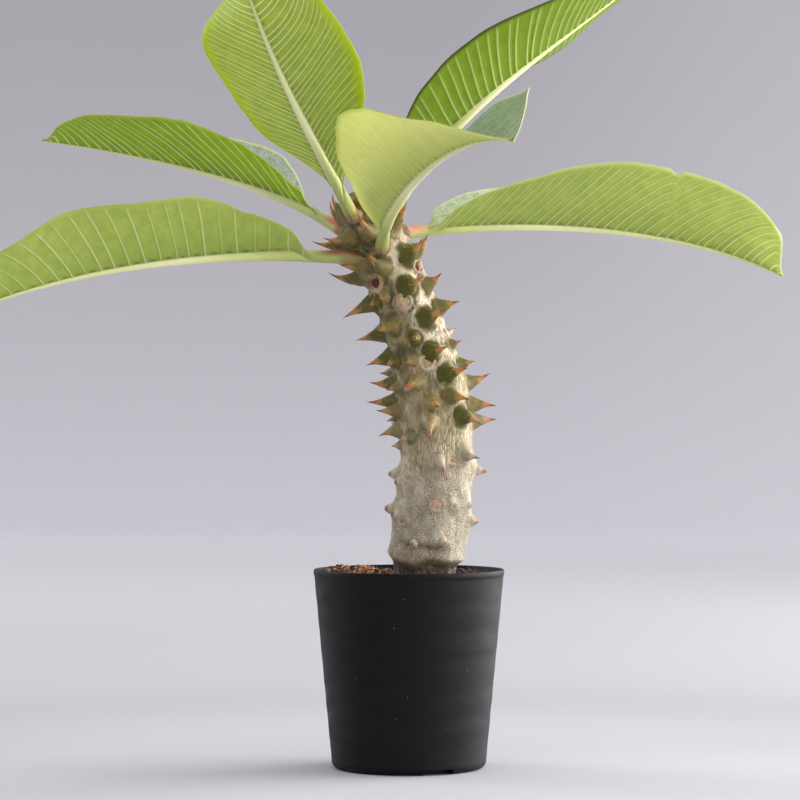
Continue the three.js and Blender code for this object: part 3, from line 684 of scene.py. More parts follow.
def leaf_paint(name, look):
    """A leaf skin: pale veins on a mottled green under face with painted shade in its creases and pockets, a
    waxy upper face with painted gloss and sheen, and light let through.
    """
    paint = Paint(name)
    shades = ("tone", "deep", "vein", "edge", "light", "above", "gloss", "blush")
    tone, deep, vein, edge, light, waxy, gloss, blush = (look[key] for key in shades)
    veins = paint.value("vein")
    over = paint.value("over")
    margin = paint.value("margin")
    # Painted shade in the creases beside the veins.
    crease_shade = paint.times(paint.value("crease_shade"), look["crease_shade"])
    mottle = paint.speckle(4.5, 4.0, 0.6)
    fine = paint.speckle(0.45, 2.0)
    net = paint.between(paint.cells((0.7, 0.7, 0.7), paint.speckle(1.5, 2.0)), 0.0, 0.25)
    specks = paint.between(paint.speckle(0.6, 2.0, 0.6), 0.7, 0.76)
    lone = paint.between(paint.speckle(9, 2.0), 0.48, 0.6, 0.0, 0.6)
    below = paint.layers(tone, [
        (paint.between(mottle, 0.3, 0.72, 0.0, 0.3), deep),
        (paint.times(paint.value("near"), 0.45), deep),
        (paint.math("MULTIPLY_ADD", net, -0.3, 0.3), deep),
        (crease_shade, deep),
        # Painted shade in the pockets between vein ends at the rib.
        (paint.times(paint.value("pocket_shade"), 0.9), (78, 120, 26)),
        (paint.times(specks, lone), vein),
        (veins, vein),
    ])
    # Upper face: its green with painted gloss patches and painted sheen specks, standing in for reflection.
    above = paint.layers(waxy, [
        (paint.between(mottle, 0.35, 0.65), gloss),
        (paint.between(fine, 0.42, 0.6, 0.0, look["painted_sheen"]), (214, 222, 196)),
        (paint.times(veins, 0.5), (186, 200, 160)),
    ])
    rib = paint.ramp(paint.value("run"), [
        (0.0, (166, 176, 96)), (0.12, (196, 204, 126)), (0.35, (240, 240, 184)),
        (1.0, (216, 224, 140)),
    ])
    base = paint.layers(below, [
        (over, above), (paint.times(margin, 0.85), edge),
        (paint.value("rib"), rib), (paint.value("blush"), blush),
    ])
    rough = paint.blend(over, (0.5, 0.5, 0.5, 1), (0.26, 0.26, 0.26, 1))
    normal = paint.bump(paint.speckle(1.2, 2.0), 0.1, normal=paint.bump(fine, 0.06))
    paint.set(Base_Color=base, Roughness=rough, Normal=normal)
    # Light let through, darker in the creases and pockets as painted shade.
    tint = paint.layers(light, [
        (paint.between(mottle, 0.3, 0.7, 0.0, 0.3), tone), (crease_shade, deep),
        (paint.times(paint.value("pocket_shade"), 0.6), deep), (veins, (255, 255, 225)), (margin, edge),
    ])
    through = paint.node("BsdfTranslucent", {"Color": tint})
    share = paint.times(paint.math("SUBTRACT", 1.0, paint.value("rib")), look["clear"])
    share = paint.times(share, paint.math("MULTIPLY_ADD", over, -0.3, 1.0))
    # Painted shade: less light is let through on the half painted in shade.
    share = paint.times(share, paint.math("MULTIPLY_ADD", paint.value("dim"), -0.75, 1.0))
    both = paint.node("MixShader", {0: share, 1: paint.shader.outputs[0], 2: through.outputs[0]})
    put(paint.output.inputs["Surface"], both.outputs[0])
    return paint.material


def floor_paint():
    """A grey floor with painted light and shade that hides where the wall begins: lighter by the pot,
    against its shadow, darker round it, behind it and in a wide ring, lighter further out and to the right
    as under the key light, and darker up the wall.
    """
    paint = Paint("studio_floor")
    out = paint.node("VectorMath", {0: paint.place}, operation="LENGTH").outputs["Value"]
    x, y, _ = paint.node("SeparateXYZ", {0: paint.place}).outputs
    # Painted light and shade: masks for the lighter far floor and right side, the shade behind the pot and a
    # darker ring.
    far = paint.between(out, 200, 1500)
    lit = paint.times(paint.between(x, 0, 700, 0.0, 0.75), far)
    shade_behind = paint.times(paint.between(y, 0, 90, 0.0, 0.08), paint.between(out, 240, 420, 1.0, 0.0))
    shade_ring = paint.times(paint.between(out, 300, 850, 0.0, 0.14), paint.between(out, 1300, 2300, 1.0, 0.0))
    base = paint.layers((183, 183, 190), [
        (paint.between(out, 120, 340), (167, 167, 172)), (far, (230, 229, 233)),
        (paint.between(out, 2700, 3900), (206, 203, 208)), (lit, (240, 238, 242)),
        (shade_behind, (0, 0, 0)), (shade_ring, (0, 0, 0)),
    ])
    return paint.set(Base_Color=base, Roughness=0.75)


# Studio
def make_camera():
    data = bpy.data.cameras.new("camera")
    data.lens = CAMERA_LENS
    data.sensor_width = CAMERA_SENSOR
    data.clip_start, data.clip_end = CAMERA_CLIP
    camera = bpy.data.objects.new("camera", data)
    camera.location = [METRES * c for c in CAMERA_PLACE]
    camera.rotation_euler = (math.radians(90 + CAMERA_TILT_UP), 0, 0)
    bpy.context.scene.collection.objects.link(camera)
    bpy.context.scene.camera = camera


def make_floor():
    profile = [(FLOOR_FLAT * k / FLOOR_FLAT_RINGS, 0.0) for k in range(1, FLOOR_FLAT_RINGS + 1)]
    for k in range(1, FLOOR_BEND_RINGS + 1):
        angle = math.radians(90 * k / FLOOR_BEND_RINGS)
        out = FLOOR_FLAT + FLOOR_BEND * math.sin(angle)
        profile.append((out, FLOOR_BEND * (1 - math.cos(angle))))
    profile.append((FLOOR_FLAT + FLOOR_BEND, FLOOR_BEND + FLOOR_WALL))
    around = circle(FLOOR_SIDES)
    rings = [radius * around + UP * z for radius, z in profile]
    points = np.vstack([*rings, [[0, 0, 0]]])
    faces = [face[::-1] for face in grid_faces(len(profile), FLOOR_SIDES)]
    centre = len(points) - 1
    faces += [[centre, j, (j + 1) % FLOOR_SIDES] for j in range(FLOOR_SIDES)]
    make_piece("floor", points, faces, floor_paint())


def add_light(name, place, aim, size, watts, tint, spread):
    data = bpy.data.lights.new(name, "AREA")
    data.spread = math.radians(spread)
    data.shape = "RECTANGLE"
    data.size, data.size_y = (METRES * s for s in size)
    data.energy = watts
    data.color = tint
    light = bpy.data.objects.new(name, data)
    light.location = [METRES * c for c in place]
    way = np.array(aim, float) - np.array(place, float)
    yaw = math.atan2(way[1], way[0])
    pitch = math.atan2(math.hypot(way[0], way[1]), -way[2])
    light.rotation_euler = (pitch, 0, yaw - math.pi / 2)
    light.visible_camera = False
    bpy.context.scene.collection.objects.link(light)


def make_world():
    """A soft sky that is brightest overhead, as under a large ceiling panel."""
    world = bpy.data.worlds.new("studio")
    world.use_nodes = True
    tree = world.node_tree
    height = add_node(tree, "SeparateXYZ", {0: add_node(tree, "TexCoord").outputs["Generated"]}).outputs["Z"]
    limits = dict(zip(("From Min", "From Max", "To Min", "To Max"), (*SKY_RISE, *SKY_STRENGTH)))
    strength = add_node(tree, "MapRange", {"Value": height, **limits}).outputs["Result"]
    put(tree.nodes["Background"].inputs["Color"], SKY_TINT)
    put(tree.nodes["Background"].inputs["Strength"], strength)
    bpy.context.scene.world = world
    bpy.context.scene.view_settings.view_transform = "Standard"


def make_lights():
    for light in LIGHTS:
        add_light(*light)


# Pot
def pot_radius_outside(z):
    return mix(BASE_RADIUS, WALL_TOP_RADIUS, (z - BASE_CORNER) / (POT_HEIGHT - LIP_HEIGHT - BASE_CORNER))


def pot_radius_inside(z):
    return pot_radius_outside(z) - WALL


def pot_profile():
    """Radius, height and share of ripple along the pot's section."""
    lip_foot = POT_HEIGHT - LIP_HEIGHT
    rows = [(BASE_RADIUS * k / POT_BASE_RINGS * 0.9, 0, 0) for k in range(1, POT_BASE_RINGS + 1)]
    for k in range(POT_CORNER_RINGS + 1):
        angle = math.radians(90 * k / POT_CORNER_RINGS)
        out = BASE_RADIUS - BASE_CORNER + BASE_CORNER * math.sin(angle)
        rows.append((out, BASE_CORNER - BASE_CORNER * math.cos(angle), 0))
    for k in range(1, POT_RINGS):
        z = mix(BASE_CORNER, lip_foot, k / POT_RINGS)
        rows.append((pot_radius_outside(z), z, 1))
    rows += [
        (WALL_TOP_RADIUS, lip_foot, 0), (RIM_RADIUS - 0.1, lip_foot + 0.25, 0),
        (RIM_RADIUS, lip_foot + 0.6, 0), (RIM_RADIUS, POT_HEIGHT - LIP_CORNER, 0),
        (RIM_RADIUS - LIP_BEVEL, POT_HEIGHT - LIP_BEVEL, 0), (RIM_RADIUS - LIP_CORNER, POT_HEIGHT, 0),
        (LIP_INNER_RADIUS + LIP_CORNER, POT_HEIGHT, 0),
        (LIP_INNER_RADIUS + LIP_BEVEL, POT_HEIGHT - LIP_BEVEL, 0),
        (LIP_INNER_RADIUS, POT_HEIGHT - LIP_CORNER, 0),
    ]
    for k in range(1, POT_INNER_RINGS + 1):
        z = mix(lip_foot, FLOOR_THICK, k / POT_INNER_RINGS)
        rows.append((pot_radius_inside(z), z, 0))
    rows.append((POT_FLOOR_RING, FLOOR_THICK, 0))
    return np.array(rows, float)


def make_pot():
    radius, height, ripple = pot_profile().T
    around = circle(POT_SIDES)
    grid = radius[:, None, None] * around[None]
    grid[..., 2] = height[:, None]
    level = grid[..., 2] - BAND_TILT * grid[..., 0]
    bands = np.sin(2 * np.pi * level / BAND_PITCH + 1.4 * noise(grid * np.array([0.3, 0.3, 1]), 17.0, 4))
    bands = bands + 0.5 * noise(grid * np.array([0.06, 0.06, 1]) + 3, 2.6, 8)
    grid[..., :2] += (RIPPLE * ripple[:, None] * (bands - 1.2))[..., None] * around[None, :, :2]
    points, faces, _ = closed_grid(grid, {})
    pot = make_piece("pot_shell", points, faces, pot_paint())
    cut(pot, pot_cutters())
    pot.data.set_sharp_from_angle(angle=math.radians(POT_SHARP_ANGLE))
    return finish_piece(pot, "pot_plastic", "pot")


def pot_cutters():
    """Notches at the foot and drain holes in the floor, as one cutting body."""
    bodies = []
    deep, wide, high = NOTCH_SIZE
    for k in range(NOTCH_COUNT):
        bearing = math.radians(FRONT_NOTCH_BEARING + 360 / NOTCH_COUNT * k)
        out = np.array([math.cos(bearing), math.sin(bearing), 0])
        side = np.cross(UP, out)
        corners = []
        for z in (-1, 1):
            for a, b in ((-1, -1), (1, -1), (1, 1), (-1, 1)):
                corner = out * (BASE_RADIUS + a * deep / 2) + side * b * wide / 2
                corners.append(corner + UP * z * high / 2)
        bodies.append(closed_grid(np.array(corners).reshape(2, 4, 3), {}))
        bearing += math.pi / NOTCH_COUNT
        centre = DRAIN_HOLE_CIRCLE * np.array([math.cos(bearing), math.sin(bearing), 0])
        hole = centre + DRAIN_HOLE_RADIUS * circle(DRAIN_HOLE_SIDES)
        bodies.append(closed_grid(np.stack([hole + UP * z for z in DRAIN_HOLE_ENDS]), {}))
    return joined(bodies)


def cut(piece, cutter):
    points, faces, _ = cutter
    tool = make_piece("cutter", points, faces, piece.data.materials[0])
    change = piece.modifiers.new("cut", "BOOLEAN")
    change.object = tool
    change.operation = "DIFFERENCE"
    change.solver = "EXACT"
    seen = piece.evaluated_get(bpy.context.evaluated_depsgraph_get())
    mesh = bpy.data.meshes.new_from_object(seen)
    piece.modifiers.clear()
    old = piece.data
    piece.data = mesh
    bpy.data.meshes.remove(old)
    bpy.data.objects.remove(tool)


# Soil
def soil_height(x, y):
    mound = SOIL_MOUND * np.exp(-(((x - SOIL_STEM_X) ** 2 + y * y) / SOIL_MOUND_SPREAD))
    return SOIL_LEVEL - SOIL_SLOPE * x + mound


def make_soil():
    floor_z = FLOOR_THICK + SOIL_GAP
    low_edge = pot_radius_inside(floor_z) - SOIL_GAP - 0.2
    edge = pot_radius_inside(SOIL_LEVEL - 3) - SOIL_GAP - 0.25
    around = circle(SOIL_SIDES)
    rings = [around * low_edge + UP * floor_z, around * edge + UP * (SOIL_LEVEL - 4)]
    for k in range(SOIL_RINGS):
        ring = around * edge * (1 - (k + 0.02) / (SOIL_RINGS + 0.5))
        lumps = 0.5 * noise(ring + 11, 2.2, 3) + 0.3 * noise(ring + 5, 0.9, 4)
        ring[:, 2] = soil_height(ring[:, 0], ring[:, 1]) - 0.4 + lumps
        rings.append(ring)
    points, faces, _ = closed_grid(np.array(rings), {})
    soil = make_piece("soil_body", points, faces, soil_paint())
    return finish_piece(soil, "soil", "soil")


def icosphere():
    """Points and faces of a ball of radius 1 with 80 faces."""
    ball = bmesh.new()
    bmesh.ops.create_icosphere(ball, subdivisions=2, radius=1)
    points = np.array([v.co[:] for v in ball.verts])
    faces = [[v.index for v in f.verts] for f in ball.faces]
    ball.free()
    return points, faces


def grain_heap(x, y):
    """How much higher the grains lie at the sides and towards the back."""
    sides = 1.7 * smoothstep(abs(x), 2, 24) * smoothstep(y, -18, 14)
    return sides + 1.2 * smoothstep(x, 16, 26) * smoothstep(y, 0, 20)


def make_grains():
    """Loose grains on the soil: seeded places, sizes and tones."""
    draw = np.random.default_rng(GRAIN_SEED)
    ball, ball_faces = icosphere()
    reach = pot_radius_inside(SOIL_LEVEL) - GRAIN_EDGE_GAP
    bodies = []
    while len(bodies) < GRAIN_COUNT:
        x, y = draw.uniform(-reach, reach, 2)
        size = mix(*GRAIN_SIZES, draw.random() ** 1.6)
        shape = draw.uniform(*GRAIN_SHAPES, 3)
        tone = draw.random() * mix(1.0, 0.35, smoothstep(x, 2, 20))
        lift = draw.uniform(*GRAIN_LIFTS)
        near_stem = math.hypot(x - SOIL_STEM_X, y) <= SOIL_STEM_RADIUS + 0.6 * size
        if near_stem or math.hypot(x, y) > reach - size:
            continue
        lumps = 1 + 0.22 * noise(ball * 1.4 + 10 * len(bodies), 1.0, 2)
        points = ball * lumps[:, None] * shape * size
        points += np.array([x, y, soil_height(x, y) + grain_heap(x, y) + lift * size])
        bodies.append((points, ball_faces, {"tone": np.full(len(ball), tone)}))
    points, faces, values = joined(bodies)
    grains = make_piece("soil_grains", points, faces, grain_paint(), values)
    return finish_piece(grains, "soil")


# Stem
def catmull_rom(points, share):
    points = np.asarray(points, float)
    spot = np.clip(share, 0, 1) * (len(points) - 1)
    index = np.minimum(spot.astype(int), len(points) - 2)
    w = (spot - index)[..., None]
    padded = np.vstack([2 * points[0] - points[1], points, 2 * points[-1] - points[-2]])
    before, start, end, after = (padded[index + k] for k in range(4))
    leave = (end - before) / 2
    arrive = (after - start) / 2
    cubic = 2 * start - 2 * end + leave + arrive
    square = 3 * end - 3 * start - 2 * leave - arrive
    return cubic * w ** 3 + square * w ** 2 + leave * w + start


STEM_CENTRES = [(x, y, z) for z, x, y, _ in STEM_LINE]
STEM_RADII = [(radius, 0, z) for z, _, _, radius in STEM_LINE]
SHARE_STEP = 1e-4
SHARE_TABLE = np.linspace(0, 1, 4001)
HEIGHT_TABLE = catmull_rom(STEM_CENTRES, SHARE_TABLE)[:, 2]


def stem_frame(z):
    """Centre, axis, right, away and radius of the bare stem at heights z."""
    share = np.interp(np.atleast_1d(np.asarray(z, float)), HEIGHT_TABLE, SHARE_TABLE)
    ahead = catmull_rom(STEM_CENTRES, share + SHARE_STEP)
    axis = unit(ahead - catmull_rom(STEM_CENTRES, share - SHARE_STEP))
    right = unit(np.array([1.0, 0, 0]) - axis * axis[:, :1])
    centre = catmull_rom(STEM_CENTRES, share)
    return centre, axis, right, np.cross(axis, right), catmull_rom(STEM_RADII, share)[:, 0]


def back_nodes():
    nodes, step, z = [], 0, SPIRAL_START
    while z < SPIRAL_END:
        bearing = (step * SPIRAL_TURN) % 360
        if BACK_FROM < bearing < BACK_TO:
            nodes.append((z, bearing))
        step += 1
        z += SPIRAL_RISE
    return nodes


def back_spines():
    """A pair of spines at each place of the spiral, stronger and greener further up."""
    rows = []
    for i, (z, bearing) in enumerate(back_nodes()):
        for side in (-1, 1):
            seed = 2 * i + (side > 0)
            longest = min(max(mix(3, 10.5, (z - 98) / 40), 3), 10.5)
            length = longest * mix(0.85, 1.1, chance(seed))
            lift = mix(-8, 16, chance(seed + 50)) + (35 if z > 205 else 0)
            green = smoothstep(z, 118, 145) * mix(0.2, 1.2, chance(seed + 70))
            rows.append((z - 1.5, bearing + side * PAIR_SPREAD, length, lift, min(green, 1)))
    return rows


def back_scars():
    """A leaf scar at each place of the spiral."""
    rows = []
    for i, (z, bearing) in enumerate(back_nodes()):
        kind = BACK_SCAR_KINDS[i % len(BACK_SCAR_KINDS)]
        rows.append((z, bearing, mix(1.6, 2.8, chance(i + 90)), kind))
    return rows


SPINES = FRONT_SPINES + back_spines()
SCARS = FRONT_SCARS + back_scars()


def spine_foot_radius(length):
    return min(4.0, 1.5 + 0.27 * length)


def bell(away, width):
    return np.exp(-((away / width) ** 2))


def fades(away, near, far):
    """1 nearer than near and 0 beyond far."""
    return 1 - smoothstep(away, near, far)


def at_least(values, key, amount):
    """Raises a value wherever the amount is higher."""
    values[key] = np.maximum(values[key], amount)


def stem_values(z, bearing, radius, bare):
    """Swelling of the stem's surface over its bare radius, and its colour values."""
    swell = np.zeros_like(bearing)
    values = {key: np.zeros_like(bearing) for key in STEM_VALUES}
    ragged = noise(bare, 2.4, 51) + 0.6 * noise(bare, 1.1, 52)
    broken = smoothstep(noise(bare, 4.0, 53), -0.35, 0.25)

    def distance(row_z, row_bearing, stretch):
        turn = np.abs(bearing - row_bearing) % 360
        turn = np.minimum(turn, 360 - turn)
        return np.hypot(np.radians(turn) * radius, (z - row_z) / stretch)

    for row_z, row_bearing, length, _, green in SPINES:
        away = distance(row_z, row_bearing, 1.15)
        bulge = mix(0.42, 0.2, smoothstep(row_z, *SPINES_BULGE))
        swell = np.maximum(swell, bulge * length * bell(away, 4.4))
        foot = spine_foot_radius(length)
        edge = away + 0.55 * ragged
        at_least(values, "green", green * fades(edge, 0.85 * foot, 1.3 * foot))
        at_least(values, "ring", 0.38 * green * broken * bell(edge - 1.28 * foot, 0.32))
    for row_z, row_bearing, size, kind in SCARS:
        away = distance(row_z, row_bearing, 0.8) + 0.5 * ragged
        inside = fades(away, 0.7 * size, 1.08 * size)
        rim = bell(away - 1.15 * size, 0.38)
        swell = np.maximum(swell, 1.3 * bell(away, 3.6)) - SCAR_DEPTHS[kind] * inside + 0.3 * rim
        if kind == "pit":
            low = smoothstep(row_z - z, -0.5 * size, 0.8 * size)
            at_least(values, "pit", fades(away, 0.6 * size, 0.8 * size))
            at_least(values, "blush", mix(0.3, 1.0, low) * np.maximum(inside, rim))
        elif kind == "dot":
            at_least(values, "pit", 0.5 * fades(away, 0.3 * size, 0.6 * size))
            at_least(values, "blush", 0.6 * inside)
        elif kind == "ring":
            core = fades(away, 0.25 * size, 0.45 * size)
            at_least(values, "ring", rim)
            at_least(values, "blush", mix(0.35, 0.8, core) * inside)
        else:
            at_least(values, "blush", 0.7 * inside)
            at_least(values, "ring", 0.5 * rim * broken)
        values["green"] = values["green"] * (1 - np.maximum(inside, 0.8 * rim))
    return swell, values


def stem_body():
    """The bent stem with its cushions, scars and the relief of its bark."""
    heights = np.linspace(STEM_FROM, STEM_TOP - 0.01, int((STEM_TOP - STEM_FROM) / STEM_STEP))
    centre, _, right, away, radius = stem_frame(heights)
    bearing = 360 * np.arange(STEM_SIDES) / STEM_SIDES
    turn = np.radians(bearing)[None, :, None]
    outward = right[:, None] * np.cos(turn) + away[:, None] * np.sin(turn)
    z = np.repeat(centre[:, 2:3], STEM_SIDES, axis=1)
    wide = np.repeat(radius[:, None], STEM_SIDES, axis=1)
    bare = centre[:, None] + outward * wide[..., None]
    drawn_up = bare * np.array([1, 1, 0.5])
    level = bare * np.array([1, 1, 0])
    swell, values = stem_values(z, np.broadcast_to(bearing, z.shape), wide, bare)
    netted = 1 - 0.75 * smoothstep(z, *NET_ENDS)
    swell = swell * smoothstep(z, *SWELLS)
    swell = swell + 0.45 * noise(bare, 7.5, 21) + 0.2 * noise(drawn_up, 2.2, 22)
    swell = swell + 0.13 * netted * noise(bare * np.array([1, 1, 0.45]), 0.8, 23)
    fold = bell(z - FOLD_HEIGHT - 0.6 * noise(level, 5.0, 31), 1.5)
    fold = fold * fades(bare[..., 0], 10, 19) * smoothstep(bare[..., 0], -6, 1)
    foot_z = FOOT_HEIGHT + 1.6 * noise(level, 9.0, 33)
    foot = fades(z, foot_z - 1.5, foot_z + 2.5)
    swell = swell - FOLD_DEPTH * fold - FOOT_DEPTH * foot
    # Darker brown in the fold, and at the foot painted shade under the bulge where the stem tucks in.
    values["brown_and_shade"] = np.maximum(0.75 * fold, 0.95 * foot)
    values["young"] = smoothstep(z, *YOUNG_BARK)
    values["crown"] = smoothstep(z, *CROWN_BARK)
    values["mid"] = smoothstep(z + 6 * noise(bare, 9.0, 41), *MID_BARK)
    values["netted"] = netted * (1 - values["green"])
    # Painted sunlight: paler bark on the side that faces the key light, high on the stem.
    facing = np.cos(np.radians(bearing + 35))[None, :]
    sunny = smoothstep(facing, 0.25, 0.85) * smoothstep(z, *SUNLIT_FROM) * fades(z, *SUNLIT_TO)
    values["painted_sunlight"] = sunny * (1 - values["green"])
    # Painted shade: dark green on the side away from the key light, added to the green of the spines' feet.
    shaded = fades(np.cos(np.radians(bearing + 20))[None, :], -0.75, 0.1)
    olive = shaded * smoothstep(z + 7 * noise(bare, 6.0, 45), *LEFT_SHADE_HEIGHTS)
    at_least(values, "green", 0.5 * olive * (1 - values["blush"]))
    tinge = bell(z - GREEN_TINGE, 12) * smoothstep(noise(bare, 3.5, 47), -0.2, 0.5)
    at_least(values, "green", 0.36 * tinge)
    return closed_grid(bare + outward * swell[..., None], values)


def ring_ways(way, up, around, wide=1.0, high=1.0):
    """Directions round a line at each of its points, where it runs along way."""
    side = unit(np.cross(up, way))
    top = np.cross(way, side)
    return around[None, :, :1] * side[:, None] * wide + around[None, :, 1:2] * top[:, None] * high


def spine_body(row, index):
    """One horn: broad at its foot, bent, drawn out to a sharp end, or blunt on old bark."""
    z, bearing, length, lift, green = row
    (centre,), (axis,), (right,), (away,), (radius,) = stem_frame(z)
    angle = math.radians(bearing)
    aside = math.tanh((bearing - TIP_TURN_FROM) / 15) * math.exp(-(((bearing - TIP_TURN_MIDDLE) / 45) ** 2))
    tip_angle = angle + math.radians(TIP_TURN * aside)
    outward = right * math.cos(angle) + away * math.sin(angle)
    level = right * math.cos(tip_angle) + away * math.sin(tip_angle)
    tip_way = level * math.cos(math.radians(lift)) + axis * math.sin(math.radians(lift))
    reach = np.concatenate([SPINE_BURIED, length * np.linspace(0, 1, SPINE_RINGS) ** 0.9])
    share = np.clip(reach / length, 0, 1)
    pointed = (1 - share) ** 1.4 * (1 + 0.16 * np.exp(-share / 0.08)) + SPINE_END
    blunt = (1 - 0.4 * share) * np.sqrt(np.maximum(1 - share ** 2.4, 0)) + SPINE_END
    width = spine_foot_radius(length) * mix(blunt, pointed, smoothstep(z, *SPINES_POINTED))
    way = unit(outward * (1 - share[:, None]) + tip_way * share[:, None])
    middle = centre + outward * radius + way * reach[:, None]
    across = ring_ways(way, axis, circle(SPINE_SIDES, chance(index)), *SPINE_SECTION)
    grid = middle[:, None] + across * width[:, None, None]
    grid = grid + across * (0.1 * width[:, None] * noise(grid, 1.8, 61))[..., None]
    values = dict.fromkeys(STEM_VALUES, 0.0)
    values["young"] = smoothstep(z, *SPINES_YOUNG)
    # Painted shade: a foot's green is deeper on its left flank, away from the light, and fainter on the lit
    # right flank.
    values["green"] = green * np.clip(mix(0.5, 1.3, 0.5 - 0.5 * across[..., 0]), 0, 1)
    values["reach"] = share[:, None]
    return closed_grid(grid, values)


def buried_stalk(leaf):
    """Inner end of a leaf's stalk, inside the stem, and where its midrib begins."""
    base = np.array(leaf["midrib"][0], float)
    centre = stem_frame(base[2] - 3)[0][0]
    return mix(centre, base, ROOT_SHARE), base


def stalk_path(leaf, distances):
    """Points of a stalk's middle line at distances from its inner end."""
    root, base = buried_stalk(leaf)
    buried = np.linalg.norm(base - root)
    inside = root + (base - root) * (distances / buried)[:, None]
    beyond, _ = bezier(leaf["midrib"], np.maximum(distances - buried, 0) / BLADE_LENGTH)
    return np.where((distances < buried)[:, None], inside, beyond)


def collar_body(leaf, index):
    """The low collar round the foot of a leaf's stalk, which runs out on the stalk."""
    root, _ = buried_stalk(leaf)
    centre, _, _, _, radius = stem_frame(root[2])
    depth = radius[0] - math.hypot(root[0] - centre[0][0], root[1] - centre[0][1])
    steps = np.linspace(0, 1, COLLAR_RINGS)
    reach = (max(depth, 0) + COLLAR_REACH) * steps
    middle = stalk_path(leaf, reach)
    way = unit(stalk_path(leaf, reach + 0.2) - middle)
    swollen = smoothstep(steps, 0, 0.3) * fades(steps, 0.35, 1.0)
    wide = STALK_RADIUS * 0.96 + (CUSHION_RADIUS - STALK_RADIUS) * swollen
    across = ring_ways(way, UP, circle(COLLAR_SIDES))
    grid = middle[:, None] + across * wide[:, None, None]
    lumps = 0.4 * noise(grid, 3.0, 71 + index) * fades(steps, 0.7, 0.95)[:, None]
    values = dict.fromkeys(STEM_VALUES, 0.0)
    values["young"] = 1.0
    values["crown"] = 0.5
    values["blush"] = 0.55 * smoothstep(steps, 0.4, 0.9)[:, None]
    values["green"] = 0.2 * smoothstep(steps, 0.4, 0.8)[:, None]
    return closed_grid(grid + across * lumps[..., None], values)


def make_stem():
    bark = [stem_body()]
    bark += [collar_body(leaf, i) for i, leaf in enumerate(LEAVES.values())]
    horns = [spine_body(row, index) for index, row in enumerate(SPINES)]
    bark_faces = sum(len(body[1]) for body in bark)
    points, faces, values = joined(bark + horns)
    stem = make_piece("stem_and_spines", points, faces, bark_paint(), values)
    stem.data.materials.append(spine_paint())
    places = np.zeros(len(faces), int)
    places[bark_faces:] = 1
    stem.data.polygons.foreach_set("material_index", places)
    return finish_piece(stem, "bark", "stem")


# Leaves
def bezier(controls, share):
    a, b, c, d = (np.array(p, float) for p in controls)
    s = np.asarray(share)[..., None]
    point = a * (1 - s) ** 3 + 3 * b * (1 - s) ** 2 * s + 3 * c * (1 - s) * s * s + d * s ** 3
    way = 3 * (b - a) * (1 - s) ** 2 + 6 * (c - b) * (1 - s) * s + 3 * (d - c) * s * s
    return point, unit(way)


def leaf_frame(leaf, share, t):
    """Centre, upward and sideways directions at shares of the midrib."""
    centre, axis = bezier(leaf["midrib"], share)
    start, _, _, tip = np.array(leaf["midrib"], float)
    up = UP - LEAN_BACK * unit((tip - start) * np.array([1, 1, 0]))
    up = unit(up - axis * (axis @ up)[..., None])
    side = np.cross(axis, up)
    roll = np.radians(along(leaf["roll"], t))[..., None]
    return centre, up * np.cos(roll) + side * np.sin(roll), side * np.cos(roll) - up * np.sin(roll)


def blade_half_width(leaf, t):
    """Half width at shares t: narrow where the stalk ends, full at the widest, round at the tip."""
    shoulder, widest = leaf["shoulder"], leaf["widest"]
    power = mix(leaf.get("base", shoulder), shoulder, smoothstep(t, 0, BASE_SHARP_SHARE))
    rise = np.sin(np.pi / 2 * np.clip(t / widest, 0, 1)) ** power
    past = np.clip((t - widest) / (1 - widest), 0, 1)
    sharp = TIP_ROUNDNESS + leaf.get("point", 0) * smoothstep(past, 0.84, 1)
    return leaf["width"] * np.where(t < widest, rise, (1 - past ** leaf["tip_power"]) ** sharp)


def rib_radius(share):
    stalk = mix(STALK_RADIUS, RIB_BASE_RADIUS, share / STALK_TAPER)
    later = np.clip((share - STALK_TAPER) / (1 - STALK_TAPER), 0, 1) ** 0.7
    return np.where(share < STALK_TAPER, stalk, mix(RIB_BASE_RADIUS, RIB_TIP_RADIUS, later))


def vein_lean(leaf, start, hand):
    """How far along the leaf a vein has moved at the margin, as a share of the blade."""
    slant = along(leaf["slant"], start) * (1 + leaf.get("skew", 0) * hand)
    wanted = slant * blade_half_width(leaf, start) / BLADE_LENGTH
    room = SLANT_ROOM * (1 - start)
    return wanted * room / (wanted ** 3 + room ** 3 + 1e-9) ** (1 / 3)


def leaf_rows(leaf, seed):
    """Rows along a blade, close together at each vein: place t, vein, crease and pillow."""
    count = leaf["veins"]
    starts = []
    for k in range(count):
        jitter = VEIN_JITTER * (chance(seed + 5 * k) - 0.5)
        starts.append(((k + 0.75 + jitter) / (count + 0.6)) ** 0.96)
    line = leaf.get("line", 1.0)
    half = [(VEIN_CORE * line, 1, 0), (VEIN_HALF * line, 0, 1), (CREASE_OUT * line, 0, 0)]
    profile = [(-offset, height, crease_shade) for offset, height, crease_shade in reversed(half)] + half
    rows = [(0, 0, 0, 0), (starts[0] * 0.5, 0, 0, 0.5)]
    for k, start in enumerate(starts):
        strength = mix(leaf.get("faint", 0.7), 1.0, chance(seed + 3 * k + 0.5))
        for offset, height, crease_shade in profile:
            rows.append((start + offset / BLADE_LENGTH, height * strength, crease_shade, 0))
        after = starts[k + 1] if k + 1 < count else 1.0
        rows.append((mix(start, after, 0.5), 0, 0, 1))
    rows = [row for row in rows if row[0] < 1.0]
    rows.append((1, 0, 0, 0))
    return np.array(sorted(rows), float).T


